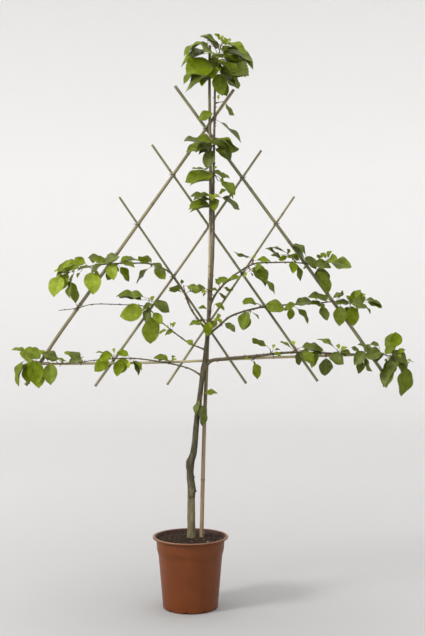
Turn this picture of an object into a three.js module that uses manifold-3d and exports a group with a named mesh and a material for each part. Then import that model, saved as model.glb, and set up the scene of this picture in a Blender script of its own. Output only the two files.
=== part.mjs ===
// A potted espaliered sweet cherry: a young tree trained flat on a frame of canes, in a round pot.
// Millimetres. +X runs to the right along the trained plane, +Y to the back and +Z up.
// The origin is the centre of the pot's underside.
import * as THREE from "three";
import { mergeVertices } from "three/addons/utils/BufferGeometryUtils.js";
import Module from "manifold-3d";

const wasm = await Module();
wasm.setup();

// Clearance between pieces that touch.
const GAP = 0.3;

// The pot: a thin tapering wall, a collar above a small step, and a lip turned out and down.
const POT_HEIGHT = 236;
const POT_BASE_RADIUS = 91;
const POT_BODY_RADIUS = 106.5;
const POT_STEP_HEIGHT = 183;
const POT_COLLAR_RADIUS = 111.5;
const POT_LIP_RADIUS = 125.4;
const POT_LIP_DROP = 9;
const POT_WALL = 2.6;
const POT_FLOOR = 3.2;
const POT_CORNER = 5;
const DRAIN_COUNT = 10;
const DRAIN_WIDTH = 11;
const DRAIN_HEIGHT = 5;
const DRAIN_DEPTH = 8;
const DRAIN_TURN = 0.3;
const ROUND_SIDES = 36;

// The compost fills the pot to a little under its rim, and is highest round the trunk.
const SOIL_HEIGHT = 232;
const SOIL_EDGE_DROP = 5;
const SOIL_CROWN = [42, 60];
const CANE_FOOT = 45;

// The trunk and its leader as [across, height, radius], from the soil to the crown.
const TRUNK = [
  [3.4, 205, 13.6],
  [2.6, 357, 12.6],
  [4, 394, 13.4],
  [0, 430, 12],
  [-1, 456, 11.8],
  [-0.5, 480, 13.4],
  [8.5, 506, 11.6],
  [13.5, 536, 10.4],
  [22, 631, 9.2],
  [29.7, 687, 8.8],
  [38, 753, 8],
  [46.2, 813, 6.9],
  [53.8, 885, 5.7],
  [62, 958, 5],
  [68.3, 1050, 4.7],
  [75.9, 1215, 4.5],
  [76.2, 1413, 4.1],
  [79.5, 1611, 3.8],
  [81.5, 1745, 3.5],
];
const ROOT_FLARE = 2.5;
const FLARE_HEIGHT = 12;
const TRUNK_SIDES = 10;
const TRUNK_RINGS = 38;
// How far the trunk stands in front of the upright cane where they cross, and the leader above it,
// and the heights between which it comes forward and goes back.
const TRUNK_FORWARD = 16;
const LEADER_FORWARD = 9;
const COMES_FORWARD = [260, 560];
const GOES_BACK = [918, 1017];
// Cut stumps on the trunk as [height, radius, reach, direction in degrees].
const STUMPS = [
  [388, 6, 18, -8],
  [430, 5, 17, 10],
];

// The boughs: guides as [across, height], radii at root and tip, and the canes that they are tied to.
// Both lowest boughs rest along the level cane from a share of their length on.
const BOUGHS = {
  lower_left: {
    guides: [[37, 768], [0, 789], [-36, 799.6], [-115, 815.4], [-203, 824.5], [-314, 818], [-366, 811]],
    radii: [2.8, 1.7],
    ties: [],
    rests_on: "level",
  },
  middle_left: {
    guides: [[50, 853], [-5, 875.5], [-65, 919], [-99, 947.4], [-135, 985.4], [-160, 998],
      [-220, 1002], [-332, 1003], [-374, 991.3], [-439, 983]],
    radii: [2.6, 1.2],
    ties: ["rise_middle", "rise_long"],
  },
  upper_left: {
    guides: [[57, 912], [4, 984.4], [-24.8, 1049.7], [-55, 1094], [-75, 1114], [-134, 1138],
      [-213, 1139.5], [-277, 1137.8], [-333, 1130.5]],
    radii: [3.9, 2],
    ties: ["fall_short", "rise_long"],
  },
  lower_right: {
    guides: [[43, 790], [66, 815], [112, 822.4], [218, 832.3], [328, 843.5], [425, 842.2],
      [540, 838.2], [612, 838.5]],
    radii: [6.6, 2.4],
    ties: [],
    rests_on: "level",
  },
  middle_right: {
    guides: [[56, 901], [94, 931], [132, 963], [227, 992.3], [314, 1001.6], [402, 1005.5], [455, 1011]],
    radii: [4.2, 2.2],
    ties: ["fall_middle"],
  },
  upper_right: {
    guides: [[66, 1007], [92, 1048.7], [137, 1094.3], [184, 1126.6], [218, 1139.8], [271, 1142.8],
      [333, 1143.5], [388, 1139.4]],
    radii: [3.9, 2.1],
    ties: ["fall_middle", "fall_long"],
  },
};

// The canes: guides as [across, height] from the thick end, radii at both ends, the spacing of the
// joints in the cane, and the canes that each one lies behind, which are tied to it.
const CANES = {
  upright: {
    guides: [[33, CANE_FOOT], [36.6, 232], [45.5, 588], [54.5, 819], [62, 1050], [66.7, 1347],
      [63, 1710], [63.7, 1862]],
    radii: [7.4, 4.6],
    joints: 236,
    behind: [],
  },
  level: {
    guides: [[-514, 804.5], [-68.5, 811], [243.6, 825.6], [644, 838.6]],
    radii: [4.1, 4.7],
    joints: 172,
    behind: ["upright"],
  },
  rise_long: {
    guides: [[-550.6, 733.7], [-446, 893], [-226, 1199], [143.8, 1717.7]],
    radii: [6.2, 5.2],
    joints: 205,
    behind: ["level", "upright"],
  },
  fall_long: {
    guides: [[658.9, 752.1], [543.6, 918], [-52.1, 1732.4]],
    radii: [5.9, 5.2],
    joints: 218,
    behind: ["level", "rise_long"],
  },
  fall_middle: {
    guides: [[423.6, 747.1], [-129.1, 1536.3]],
    radii: [4.7, 4],
    joints: 187,
    behind: ["level", "rise_long"],
  },
  fall_short: {
    guides: [[185.5, 739.5], [-238.5, 1362.1]],
    radii: [4.3, 3.7],
    joints: 160,
    behind: ["level", "rise_long"],
  },
  rise_middle: {
    guides: [[-318.6, 730.7], [3.5, 1182], [236.3, 1519.2]],
    radii: [4.7, 4],
    joints: 176,
    behind: ["level", "fall_short", "fall_middle", "fall_long"],
  },
  rise_short: {
    guides: [[-79, 734.8], [346.9, 1364.6]],
    radii: [4.1, 3.5],
    joints: 150,
    behind: ["fall_short", "fall_middle", "fall_long"],
  },
};
const JOINT_SWELL = 0.09;
const JOINT_LENGTH = 7;
const FIRST_JOINT = 0.6;

const LIMB_SIDES = 6;
const BOUGH_RINGS = 22;
const BOUGH_TAPER = 0.7;
const REST_SHARE = 0.35;

// Leaves, as shares of their length.
const LEAF_HALF_WIDTH = 0.365;
const LEAF_WIDEST = 0.92;
const LEAF_FULLNESS = 0.72;
const LEAF_THICKNESS = 0.016;
const LEAF_SAG = 0.13;
const LEAF_FOLD = 0.22;
const BLADE_CUTS = [0.28, 0.67];
const STALK_SHARE = 0.15;

// Stalks and twigs.
const STALK_LENGTH = 8;
const STALK_RISE = 0.35;
const STALK_RADIUS = 1;
const TWIG_RADIUS = 1.7;
const TWIG_BEND = 0.45;
const TWIG_SIDES = 5;

// How leaves vary: the spread of their directions and of their tilt to the front and the back in
// degrees, the most that they tilt, their change of size, and how many roll the usual way.
const AIM_SPREAD = 8;
const DEPTH_SPREAD = 26;
const DEPTH_LIMIT = 72;
const SIZE_CHANGE = 0.1;
const USUAL_ROLL = 0.85;

// Clearances of the leaves, and the points that stand for limbs and leaves when they are tested.
const CLEAR_OF_LIMBS = 1.4;
const CLEAR_OF_LEAVES = 6;
const LIMB_POINTS = 60;
const SAMPLE_ROWS = 8;
const SAMPLE_COLUMNS = 3;
// The smallest detail that a joined spray keeps.
const FINEST = 0.1;

// The colours, as seen in soft white light.
const finish = (color, roughness) => new THREE.MeshStandardMaterial({ color, roughness, metalness: 0 });
const TERRACOTTA = finish(0x8a4c2c, 0.48);
const COMPOST = finish(0x2c2018, 0.95);
const BARK = finish(0x5d5138, 0.8);
const CANE = finish(0xa0945f, 0.55);
const LEAF = finish(0x5f7a26, 0.5);

const degrees = THREE.MathUtils.degToRad;
const vec = (x, y, z) => new THREE.Vector3(x, y, z);
const mix = THREE.MathUtils.lerp;

// A repeatable sequence of numbers from 0 to 1.
function seeded(seed) {
  let state = seed >>> 0;
  return () => {
    state = (state + 0x6d2b79f5) >>> 0;
    let t = Math.imul(state ^ (state >>> 15), state | 1);
    t ^= t + Math.imul(t ^ (t >>> 7), t | 61);
    return ((t ^ (t >>> 14)) >>> 0) / 4294967296;
  };
}

// A closed geometry as a solid that can be joined and cut.
function solidOf(geometry) {
  const bare = new THREE.BufferGeometry();
  bare.setAttribute("position", geometry.getAttribute("position").clone());
  bare.setIndex(geometry.index);
  const merged = mergeVertices(bare, 1e-4);
  return new wasm.Manifold(new wasm.Mesh({
    numProp: 3,
    vertProperties: new Float32Array(merged.attributes.position.array),
    triVerts: new Uint32Array(merged.index.array),
  }));
}

// The largest body of a solid: loose scraps go, and so do hollows that joining has sealed.
function wholeBody(solid) {
  const bodies = solid.decompose();
  return bodies.reduce((best, body) => (body.volume() > best.volume() ? body : best));
}

function meshOf(solid, name, material) {
  const made = solid.getMesh();
  const geometry = new THREE.BufferGeometry();
  geometry.setAttribute("position", new THREE.BufferAttribute(made.vertProperties, 3));
  geometry.setIndex(new THREE.BufferAttribute(made.triVerts, 1));
  geometry.computeVertexNormals();
  const mesh = new THREE.Mesh(geometry, material);
  mesh.name = name;
  return mesh;
}

// A closed tube along a curve, with a ring of corners at each station and flat ends.
function tube(curve, stations, radiusAt, sides) {
  const positions = [];
  const indices = [];
  let side = vec(0, 1, 0);
  stations.forEach((u) => {
    const centre = curve.getPointAt(u);
    const along = curve.getTangentAt(u);
    if (Math.abs(side.dot(along)) > 0.9) side = vec(1, 0, 0);
    side = side.clone().addScaledVector(along, -side.dot(along)).normalize();
    const across = along.clone().cross(side);
    for (let k = 0; k < sides; k++) {
      const turn = (2 * Math.PI * k) / sides;
      const corner = centre.clone();
      corner.addScaledVector(side, radiusAt(u) * Math.cos(turn));
      corner.addScaledVector(across, radiusAt(u) * Math.sin(turn));
      positions.push(corner.x, corner.y, corner.z);
    }
  });
  for (let ring = 0; ring < stations.length - 1; ring++) {
    for (let k = 0; k < sides; k++) {
      const a = ring * sides + k;
      const b = ring * sides + ((k + 1) % sides);
      indices.push(a, b, b + sides, a, b + sides, a + sides);
    }
  }
  const last = (stations.length - 1) * sides;
  for (let k = 1; k < sides - 1; k++) {
    indices.push(0, k + 1, k, last, last + k, last + k + 1);
  }
  const geometry = new THREE.BufferGeometry();
  geometry.setAttribute("position", new THREE.Float32BufferAttribute(positions, 3));
  geometry.setIndex(indices);
  return geometry;
}

const evenly = (count) => Array.from({ length: count + 1 }, (_, i) => i / count);

// The value at x on straight pieces between knots [x, value], which are in order of x.
function between(knots, x) {
  const after = knots.findIndex(([at]) => at >= x);
  if (after === 0) return knots[0][1];
  if (after < 0) return knots[knots.length - 1][1];
  const [x0, v0] = knots[after - 1];
  const [x1, v1] = knots[after];
  return mix(v0, v1, (x - x0) / (x1 - x0));
}

// Where two flat routes of [across, height] points cross: the share along each, or null.
function crossing(first, second) {
  for (let i = 0; i < first.length - 1; i++) {
    for (let j = 0; j < second.length - 1; j++) {
      const [ax, az] = first[i];
      const [bx, bz] = second[j];
      const [ux, uz] = [first[i + 1][0] - ax, first[i + 1][1] - az];
      const [vx, vz] = [second[j + 1][0] - bx, second[j + 1][1] - bz];
      const area = ux * vz - uz * vx;
      if (Math.abs(area) < 1e-9) continue;
      const s = ((bx - ax) * vz - (bz - az) * vx) / area;
      const t = ((bx - ax) * uz - (bz - az) * ux) / area;
      if (s < 0 || s > 1 || t < 0 || t > 1) continue;
      return {
        first: (i + s) / (first.length - 1),
        second: (j + t) / (second.length - 1),
        point: [ax + ux * s, az + uz * s],
      };
    }
  }
  return null;
}

// The limbs and canes that leaves keep clear of. Each has points along it with a radius each, and a
// sleeve: its own shape with the clearance added, which cuts the root of what grows from it.
const limbs = {};

function limbSolid(name, curve, radiusAt, stations, sides) {
  const points = evenly(LIMB_POINTS).map((u) => [curve.getPointAt(u), radiusAt(u)]);
  const sleeve = solidOf(tube(curve, stations, (u) => radiusAt(u) + GAP, sides));
  limbs[name] = { curve, radiusAt, points, sleeve };
  return solidOf(tube(curve, stations, radiusAt, sides));
}

// Canes. Each lies against those in front of it, so its depth at a crossing follows from theirs.
const depthAlong = {};

function caneSolid(name, { guides, radii, joints, behind }) {
  const knots = [];
  for (const other of behind) {
    const met = crossing(guides, CANES[other].guides);
    if (!met) throw new Error(`${name} doesn't cross ${other}`);
    const front = between(depthAlong[other], met.second);
    const reach = mix(...radii, met.first) + mix(...CANES[other].radii, met.second);
    knots.push([met.first, front + reach * (1 + JOINT_SWELL / 3) + GAP]);
  }
  knots.sort((a, b) => a[0] - b[0]);
  if (!knots.length) knots.push([0, 0]);
  depthAlong[name] = knots;
  const shares = new Set([...guides.keys()].map((i) => i / (guides.length - 1)));
  knots.forEach(([share]) => shares.add(share));
  const route = [...shares].sort((a, b) => a - b).map((share) => {
    const place = share * (guides.length - 1);
    const i = Math.min(Math.floor(place), guides.length - 2);
    const [x, z] = [0, 1].map((axis) => mix(guides[i][axis], guides[i + 1][axis], place - i));
    return vec(x, between(knots, share), z);
  });
  const curve = route.length > 2 ? new THREE.CatmullRomCurve3(route) : new THREE.LineCurve3(...route);
  const length = curve.getLength();
  const count = Math.floor(length / joints);
  const swell = JOINT_LENGTH / length;
  const centres = Array.from({ length: count }, (_, i) => ((i + FIRST_JOINT) * joints) / length);
  const radiusAt = (u) => {
    const near = centres.some((at) => Math.abs(u - at) < swell / 2);
    return mix(...radii, u) * (near ? 1 + JOINT_SWELL : 1);
  };
  const stations = [...evenly(Math.max(4, route.length - 1))];
  centres.forEach((at) => stations.push(at - swell, at, at + swell));
  stations.sort((a, b) => a - b);
  const kept = stations.filter((u, i) => i === 0 || u - stations[i - 1] > swell / 2);
  return limbSolid("cane_" + name, curve, radiusAt, kept, LIMB_SIDES);
}

// How far the trunk stands forward of the pot's axis at a height.
function trunkDepth(height) {
  const step = THREE.MathUtils.smoothstep;
  const back = step(height, ...GOES_BACK) * (TRUNK_FORWARD - LEADER_FORWARD);
  return back - step(height, ...COMES_FORWARD) * TRUNK_FORWARD;
}

function trunkSolid() {
  const route = TRUNK.map(([x, z]) => vec(x, trunkDepth(z), z));
  const curve = new THREE.CatmullRomCurve3(route);
  const widths = TRUNK.map(([, z, radius]) => [z, radius]);
  const radiusAt = (u) => {
    const height = curve.getPointAt(u).z;
    const above = Math.max(0, height - SOIL_HEIGHT);
    return between(widths, height) + ROOT_FLARE * Math.exp(-above / FLARE_HEIGHT);
  };
  const sunk = SOIL_HEIGHT - TRUNK[0][1];
  const flare = [0, 1, 2, 3, 4].map((i) => (sunk + i * FLARE_HEIGHT) / curve.getLength());
  const even = evenly(TRUNK_RINGS).filter((u) => u > flare[4] + 1 / (2 * TRUNK_RINGS));
  let solid = limbSolid("trunk", curve, radiusAt, [0, ...flare, ...even], TRUNK_SIDES);
  for (const [height, radius, reach, turn] of STUMPS) {
    const root = pointAt(limbs.trunk, "z", height);
    const way = vec(Math.cos(degrees(turn)), -0.25, Math.sin(degrees(turn))).normalize();
    const stump = new THREE.LineCurve3(root, root.clone().addScaledVector(way, reach));
    solid = solid.add(solidOf(tube(stump, [0, 1], (u) => mix(radius * 1.15, radius * 0.85, u), LIMB_SIDES)));
  }
  const below = new THREE.BoxGeometry(POT_HEIGHT, POT_HEIGHT, POT_HEIGHT);
  below.translate(0, 0, SOIL_HEIGHT + GAP - POT_HEIGHT / 2);
  return wholeBody(solid.subtract(solidOf(below)));
}

// The point on a limb's curve where one coordinate has a value, which the limb passes once.
function pointAt(limb, axis, value) {
  let [low, high] = [0, 1];
  const rising = limb.curve.getPointAt(1)[axis] > limb.curve.getPointAt(0)[axis];
  for (let i = 0; i < 40; i++) {
    const middle = (low + high) / 2;
    const under = limb.curve.getPointAt(middle)[axis] < value;
    if (under === rising) low = middle;
    else high = middle;
  }
  return limb.curve.getPointAt(low);
}

// A bough runs from the trunk's side in front of the canes that it is tied to.
function boughSolid(name, { guides, radii, ties, rests_on: rest }) {
  const knots = [[0, trunkDepth(guides[0][1])]];
  if (rest) {
    const reach = radii[0] + Math.max(...CANES[rest].radii) * (1 + JOINT_SWELL) + GAP;
    knots.push([REST_SHARE, depthAlong[rest][0][1] - reach]);
  }
  const extra = [];
  for (const cane of ties) {
    const met = crossing(guides, CANES[cane].guides);
    if (!met) throw new Error(`${name} doesn't cross ${cane}`);
    const reach = mix(...radii, met.first) + mix(...CANES[cane].radii, met.second) * (1 + JOINT_SWELL);
    knots.push([met.first, between(depthAlong[cane], met.second) - reach - GAP]);
    extra.push([met.first, met.point]);
  }
  knots.sort((a, b) => a[0] - b[0]);
  const stops = guides.map((point, i) => [i / (guides.length - 1), point]);
  const apart = 0.3 / guides.length;
  const spaced = stops.filter(([share]) => extra.every(([at]) => Math.abs(at - share) > apart));
  const route = [...spaced, ...extra].sort((a, b) => a[0] - b[0])
    .map(([share, [x, z]]) => vec(x, between(knots, share), z));
  const curve = new THREE.CatmullRomCurve3(route);
  const radiusAt = (u) => mix(radii[0], radii[1], u ** BOUGH_TAPER);
  const solid = limbSolid("bough_" + name, curve, radiusAt, evenly(BOUGH_RINGS), LIMB_SIDES);
  return wholeBody(solid.subtract(limbs.trunk.sleeve));
}

// A leaf: its base, the way it points, and its flat side and upper face.
function leafFrame(base, along, length, face, turn) {
  const front = vec(0, -1, 0).addScaledVector(along, along.y).normalize();
  const side = along.clone().cross(front);
  const roll = Math.acos(face) * (side.z >= 0 ? 1 : -1) * turn;
  const upper = front.clone().multiplyScalar(Math.cos(roll)).addScaledVector(side, Math.sin(roll));
  return { base, along, upper, side: along.clone().cross(upper), length };
}

// A point of the blade: share runs from base to tip, and out from -1 to 1 across it.
function bladePoint(leaf, share, out) {
  const swelling = Math.sin(Math.PI * Math.min(1, share) ** LEAF_WIDEST) ** LEAF_FULLNESS;
  const half = leaf.length * LEAF_HALF_WIDTH * swelling;
  const point = leaf.base.clone().addScaledVector(leaf.along, leaf.length * share);
  point.z -= leaf.length * LEAF_SAG * share * share;
  point.addScaledVector(leaf.side, half * out);
  return point.addScaledVector(leaf.upper, half * Math.abs(out) * LEAF_FOLD);
}

// A leaf as one closed body: a three-sided stalk that widens into the blade, whose upper and lower
// faces meet at its edge and stand apart along the midrib.
function leafSolid(leaf, stalk) {
  const { base, side, upper } = leaf;
  const points = [];
  const indices = [];
  const push = (centre, along, lift) =>
    points.push(centre.clone().addScaledVector(side, along).addScaledVector(upper, lift));
  const rings = [[stalk.getPointAt(0), STALK_RADIUS], [stalk.getPointAt(0.55), STALK_RADIUS * 0.8],
    [base, STALK_RADIUS * 0.8]];
  for (const [centre, radius] of rings) {
    push(centre, -radius, radius * 0.6);
    push(centre, radius, radius * 0.6);
    push(centre, 0, -radius * 1.1);
  }
  for (let ring = 0; ring < rings.length - 1; ring++) {
    for (let k = 0; k < 3; k++) {
      const a = ring * 3 + k;
      const b = ring * 3 + ((k + 1) % 3);
      indices.push(a, b, b + 3, a, b + 3, a + 3);
    }
  }
  indices.push(0, 2, 1);
  const neck = { left: 6, right: 7, under: 8 };
  const rows = BLADE_CUTS.map((share) => {
    const first = points.length;
    const middle = bladePoint(leaf, share, 0);
    points.push(bladePoint(leaf, share, -1), bladePoint(leaf, share, 1));
    push(middle, 0, (leaf.length * LEAF_THICKNESS) / 2);
    push(middle, 0, (-leaf.length * LEAF_THICKNESS) / 2);
    return { left: first, right: first + 1, over: first + 2, under: first + 3 };
  });
  points.push(bladePoint(leaf, 1, 0));
  const tip = points.length - 1;
  const [first] = rows;
  indices.push(neck.left, neck.right, first.over);
  indices.push(neck.left, first.over, first.left, neck.right, first.right, first.over);
  indices.push(neck.left, first.left, first.under, neck.left, first.under, neck.under);
  indices.push(neck.right, first.under, first.right, neck.right, neck.under, first.under);
  for (let i = 0; i < rows.length - 1; i++) {
    const [here, next] = [rows[i], rows[i + 1]];
    indices.push(here.left, here.over, next.over, here.left, next.over, next.left);
    indices.push(here.right, next.right, next.over, here.right, next.over, here.over);
    indices.push(here.left, next.left, next.under, here.left, next.under, here.under);
    indices.push(here.right, next.under, next.right, here.right, here.under, next.under);
  }
  const last = rows[rows.length - 1];
  indices.push(last.left, last.over, tip, last.right, tip, last.over);
  indices.push(last.left, tip, last.under, last.right, last.under, tip);
  const geometry = new THREE.BufferGeometry();
  geometry.setAttribute("position", new THREE.Float32BufferAttribute(points.flatMap((p) => [...p]), 3));
  geometry.setIndex(indices);
  return solidOf(geometry);
}

// Points that stand for a leaf and its stalk when clearances are tested.
function leafSamples(leaf, stalk) {
  const samples = [stalk.getPointAt(0.45), stalk.getPointAt(0.75)];
  for (let row = 1; row <= SAMPLE_ROWS; row++) {
    for (let column = -SAMPLE_COLUMNS; column <= SAMPLE_COLUMNS; column++) {
      samples.push(bladePoint(leaf, row / SAMPLE_ROWS, column / SAMPLE_COLUMNS));
    }
  }
  return samples;
}

function distanceToLimb(point, limb) {
  let nearest = Infinity;
  for (let i = 0; i < limb.points.length - 1; i++) {
    const [start, radius] = limb.points[i];
    const way = limb.points[i + 1][0].clone().sub(start);
    const share = THREE.MathUtils.clamp(point.clone().sub(start).dot(way) / way.lengthSq(), 0, 1);
    nearest = Math.min(nearest, point.distanceTo(start.clone().addScaledVector(way, share)) - radius);
  }
  return nearest;
}

// A leaf that would touch something turns further to the front or the back, by these degrees.
const DEPTH_TRIES = [0, -16, 16, -32, 32, -48, 48, -64, 64];
const placed = [];

// A leaf on a stalk from a point of its twig, or null where it finds no room.
function leafWithRoom(attach, aim, tilt, grown, face, turn) {
  for (const more of DEPTH_TRIES) {
    const depth = degrees(THREE.MathUtils.clamp(tilt + more, -DEPTH_LIMIT, DEPTH_LIMIT));
    const length = grown / Math.max(0.75, Math.cos(depth));
    const toTip = vec(Math.cos(aim) * Math.cos(depth), Math.sin(depth), Math.sin(aim) * Math.cos(depth));
    const rise = toTip.clone().add(vec(0, 0, STALK_RISE)).normalize();
    const reach = STALK_LENGTH + length * STALK_SHARE;
    const base = attach.clone().addScaledVector(rise, reach);
    const elbow = attach.clone().addScaledVector(rise, reach * 0.6);
    const stalk = new THREE.QuadraticBezierCurve3(attach, elbow, base);
    const leaf = leafFrame(base, toTip.add(vec(0, 0, LEAF_SAG)).normalize(), length, face, turn);
    const samples = leafSamples(leaf, stalk);
    const touches = Object.values(limbs).some((other) =>
      samples.some((point) => distanceToLimb(point, other) < CLEAR_OF_LIMBS));
    if (touches) continue;
    const near = placed.filter((other) => other.base.distanceTo(base) < (other.length + length) * 1.5);
    const crowded = near.some((other) =>
      samples.some((point) => other.samples.some((theirs) => theirs.distanceTo(point) < CLEAR_OF_LEAVES)));
    if (crowded) continue;
    placed.push({ base, length, samples });
    return { leaf, stalk };
  }
  return null;
}

// A twig with leaves in fans. Each fan is [leaves, first direction, last direction, length, how
// squarely it faces the front]; directions are in degrees from +X towards +Z.
function sprayParts(limb, place, { heading, length, seed, lean, first }, fans) {
  const random = seeded(seed);
  const tip = place === "tip";
  const axis = limb === limbs.trunk ? "z" : "x";
  const root = tip ? limb.curve.getPointAt(1) : pointAt(limb, axis, place);
  const flat = degrees(heading);
  const out = degrees(lean ?? (tip ? -6 : -35));
  const way = vec(Math.cos(flat) * Math.cos(out), Math.sin(out), Math.sin(flat) * Math.cos(out));
  const along = tip ? limb.curve.getTangentAt(1) : way;
  const start = root.clone().addScaledVector(along, tip ? GAP : 0);
  const full = length + (tip ? 0 : limb.radiusAt(0.3));
  const bend = start.clone().addScaledVector(along, full * TWIG_BEND);
  const twig = new THREE.QuadraticBezierCurve3(start, bend, start.clone().addScaledVector(way, full));
  const total = fans.reduce((sum, [count]) => sum + count, 0);
  const lowest = first ?? (tip ? 0.12 : 0.4);
  const leaves = [];
  let index = 0;
  for (const [count, from, to, size, face] of fans) {
    for (let i = 0; i < count; i++) {
      const share = total === 1 ? 1 : mix(lowest, 1, index / (total - 1));
      const middle = mix(from, to, count === 1 ? 0 : i / (count - 1));
      const aim = degrees(middle + (random() - 0.5) * AIM_SPREAD);
      const tilt = (random() - 0.5) * 2 * DEPTH_SPREAD;
      const grown = size * (1 + (random() - 0.5) * SIZE_CHANGE);
      const turn = random() < USUAL_ROLL ? 1 : -1;
      const made = leafWithRoom(twig.getPointAt(share), aim, tilt, grown, face, turn);
      if (made) leaves.push(made);
      index++;
    }
  }
  return { twig, radius: Math.min(TWIG_RADIUS, limb.radiusAt(1)), leaves, sleeve: tip ? null : limb.sleeve };
}

// A spray as one body, its stem cut to clear the limb that it grows from.
function spraySolid({ twig, radius, leaves, sleeve }) {
  const pieces = [solidOf(tube(twig, evenly(3), (u) => mix(radius, STALK_RADIUS, u), TWIG_SIDES))];
  for (const { leaf, stalk } of leaves) pieces.push(leafSolid(leaf, stalk));
  const joined = wasm.Manifold.union(pieces);
  return wholeBody(sleeve ? joined.subtract(sleeve) : joined).simplify(FINEST);
}

// The inside of the pot's wall from its floor up, as [radius, height].
const INNER_WALL = [
  [POT_BASE_RADIUS - POT_WALL - POT_CORNER, POT_FLOOR],
  [POT_BASE_RADIUS - POT_WALL + 0.2, POT_FLOOR + POT_CORNER],
  [POT_BODY_RADIUS - POT_WALL, POT_STEP_HEIGHT],
  [POT_COLLAR_RADIUS - POT_WALL, POT_STEP_HEIGHT + 4],
  [POT_COLLAR_RADIUS - POT_WALL + 1.6, POT_HEIGHT - 5],
];

// A round solid from a profile of [radius, height] that starts and ends on the axis.
function turned(profile) {
  const points = profile.map(([radius, height]) => new THREE.Vector2(radius, height));
  return solidOf(new THREE.LatheGeometry(points, ROUND_SIDES).rotateX(Math.PI / 2));
}

function potSolid() {
  let solid = turned([
    [0, 0],
    [POT_BASE_RADIUS - POT_CORNER, 0],
    [POT_BASE_RADIUS, POT_CORNER],
    [POT_BODY_RADIUS, POT_STEP_HEIGHT],
    [POT_COLLAR_RADIUS - 0.8, POT_STEP_HEIGHT + 2.5],
    [POT_COLLAR_RADIUS + 2, POT_HEIGHT - 5],
    [POT_LIP_RADIUS - POT_WALL, POT_HEIGHT - POT_WALL - 1],
    [POT_LIP_RADIUS - POT_WALL + 0.8, POT_HEIGHT - POT_LIP_DROP],
    [POT_LIP_RADIUS - 0.6, POT_HEIGHT - POT_LIP_DROP],
    [POT_LIP_RADIUS, POT_HEIGHT - 3],
    [POT_LIP_RADIUS - 3.5, POT_HEIGHT],
    [POT_COLLAR_RADIUS - POT_WALL + 4, POT_HEIGHT - 1],
    ...INNER_WALL.toReversed(),
    [0, POT_FLOOR],
  ]);
  for (let i = 0; i < DRAIN_COUNT; i++) {
    const drain = new THREE.BoxGeometry(DRAIN_DEPTH * 2, DRAIN_WIDTH, DRAIN_HEIGHT * 2);
    drain.translate(POT_BASE_RADIUS, 0, 0);
    drain.rotateZ((2 * Math.PI * (i + DRAIN_TURN)) / DRAIN_COUNT);
    solid = solid.subtract(solidOf(drain));
  }
  return solid;
}

// The compost, with a socket for the foot of the upright cane.
function soilSolid(cane) {
  const side = INNER_WALL.slice(0, 4).map(([radius, height]) => [radius - GAP * 1.2, height + GAP]);
  const body = turned([
    [0, POT_FLOOR + GAP],
    ...side,
    [POT_COLLAR_RADIUS - POT_WALL - GAP, SOIL_HEIGHT - SOIL_EDGE_DROP],
    [SOIL_CROWN[1], SOIL_HEIGHT - 1],
    [SOIL_CROWN[0], SOIL_HEIGHT],
    [0, SOIL_HEIGHT],
  ]);
  const foot = cane.curve.getPointAt(0);
  const end = new THREE.LineCurve3(foot.clone().add(vec(0, 0, -GAP)), foot.clone().add(vec(0, 0, GAP)));
  const socket = solidOf(tube(end, [0, 1], () => cane.radiusAt(0) + GAP, LIMB_SIDES));
  return wholeBody(body.subtract(cane.sleeve).subtract(socket));
}

const root = new THREE.Group();
root.name = "potted_espaliered_sweet_cherry";

root.add(meshOf(potSolid(), "pot", TERRACOTTA));
for (const [name, sizes] of Object.entries(CANES)) {
  root.add(meshOf(caneSolid(name, sizes), "cane_" + name, CANE));
}
root.add(meshOf(soilSolid(limbs.cane_upright), "soil", COMPOST));
root.add(meshOf(trunkSolid(), "trunk", BARK));
for (const [name, sizes] of Object.entries(BOUGHS)) {
  root.add(meshOf(boughSolid(name, sizes), "bough_" + name, BARK));
}

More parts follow.
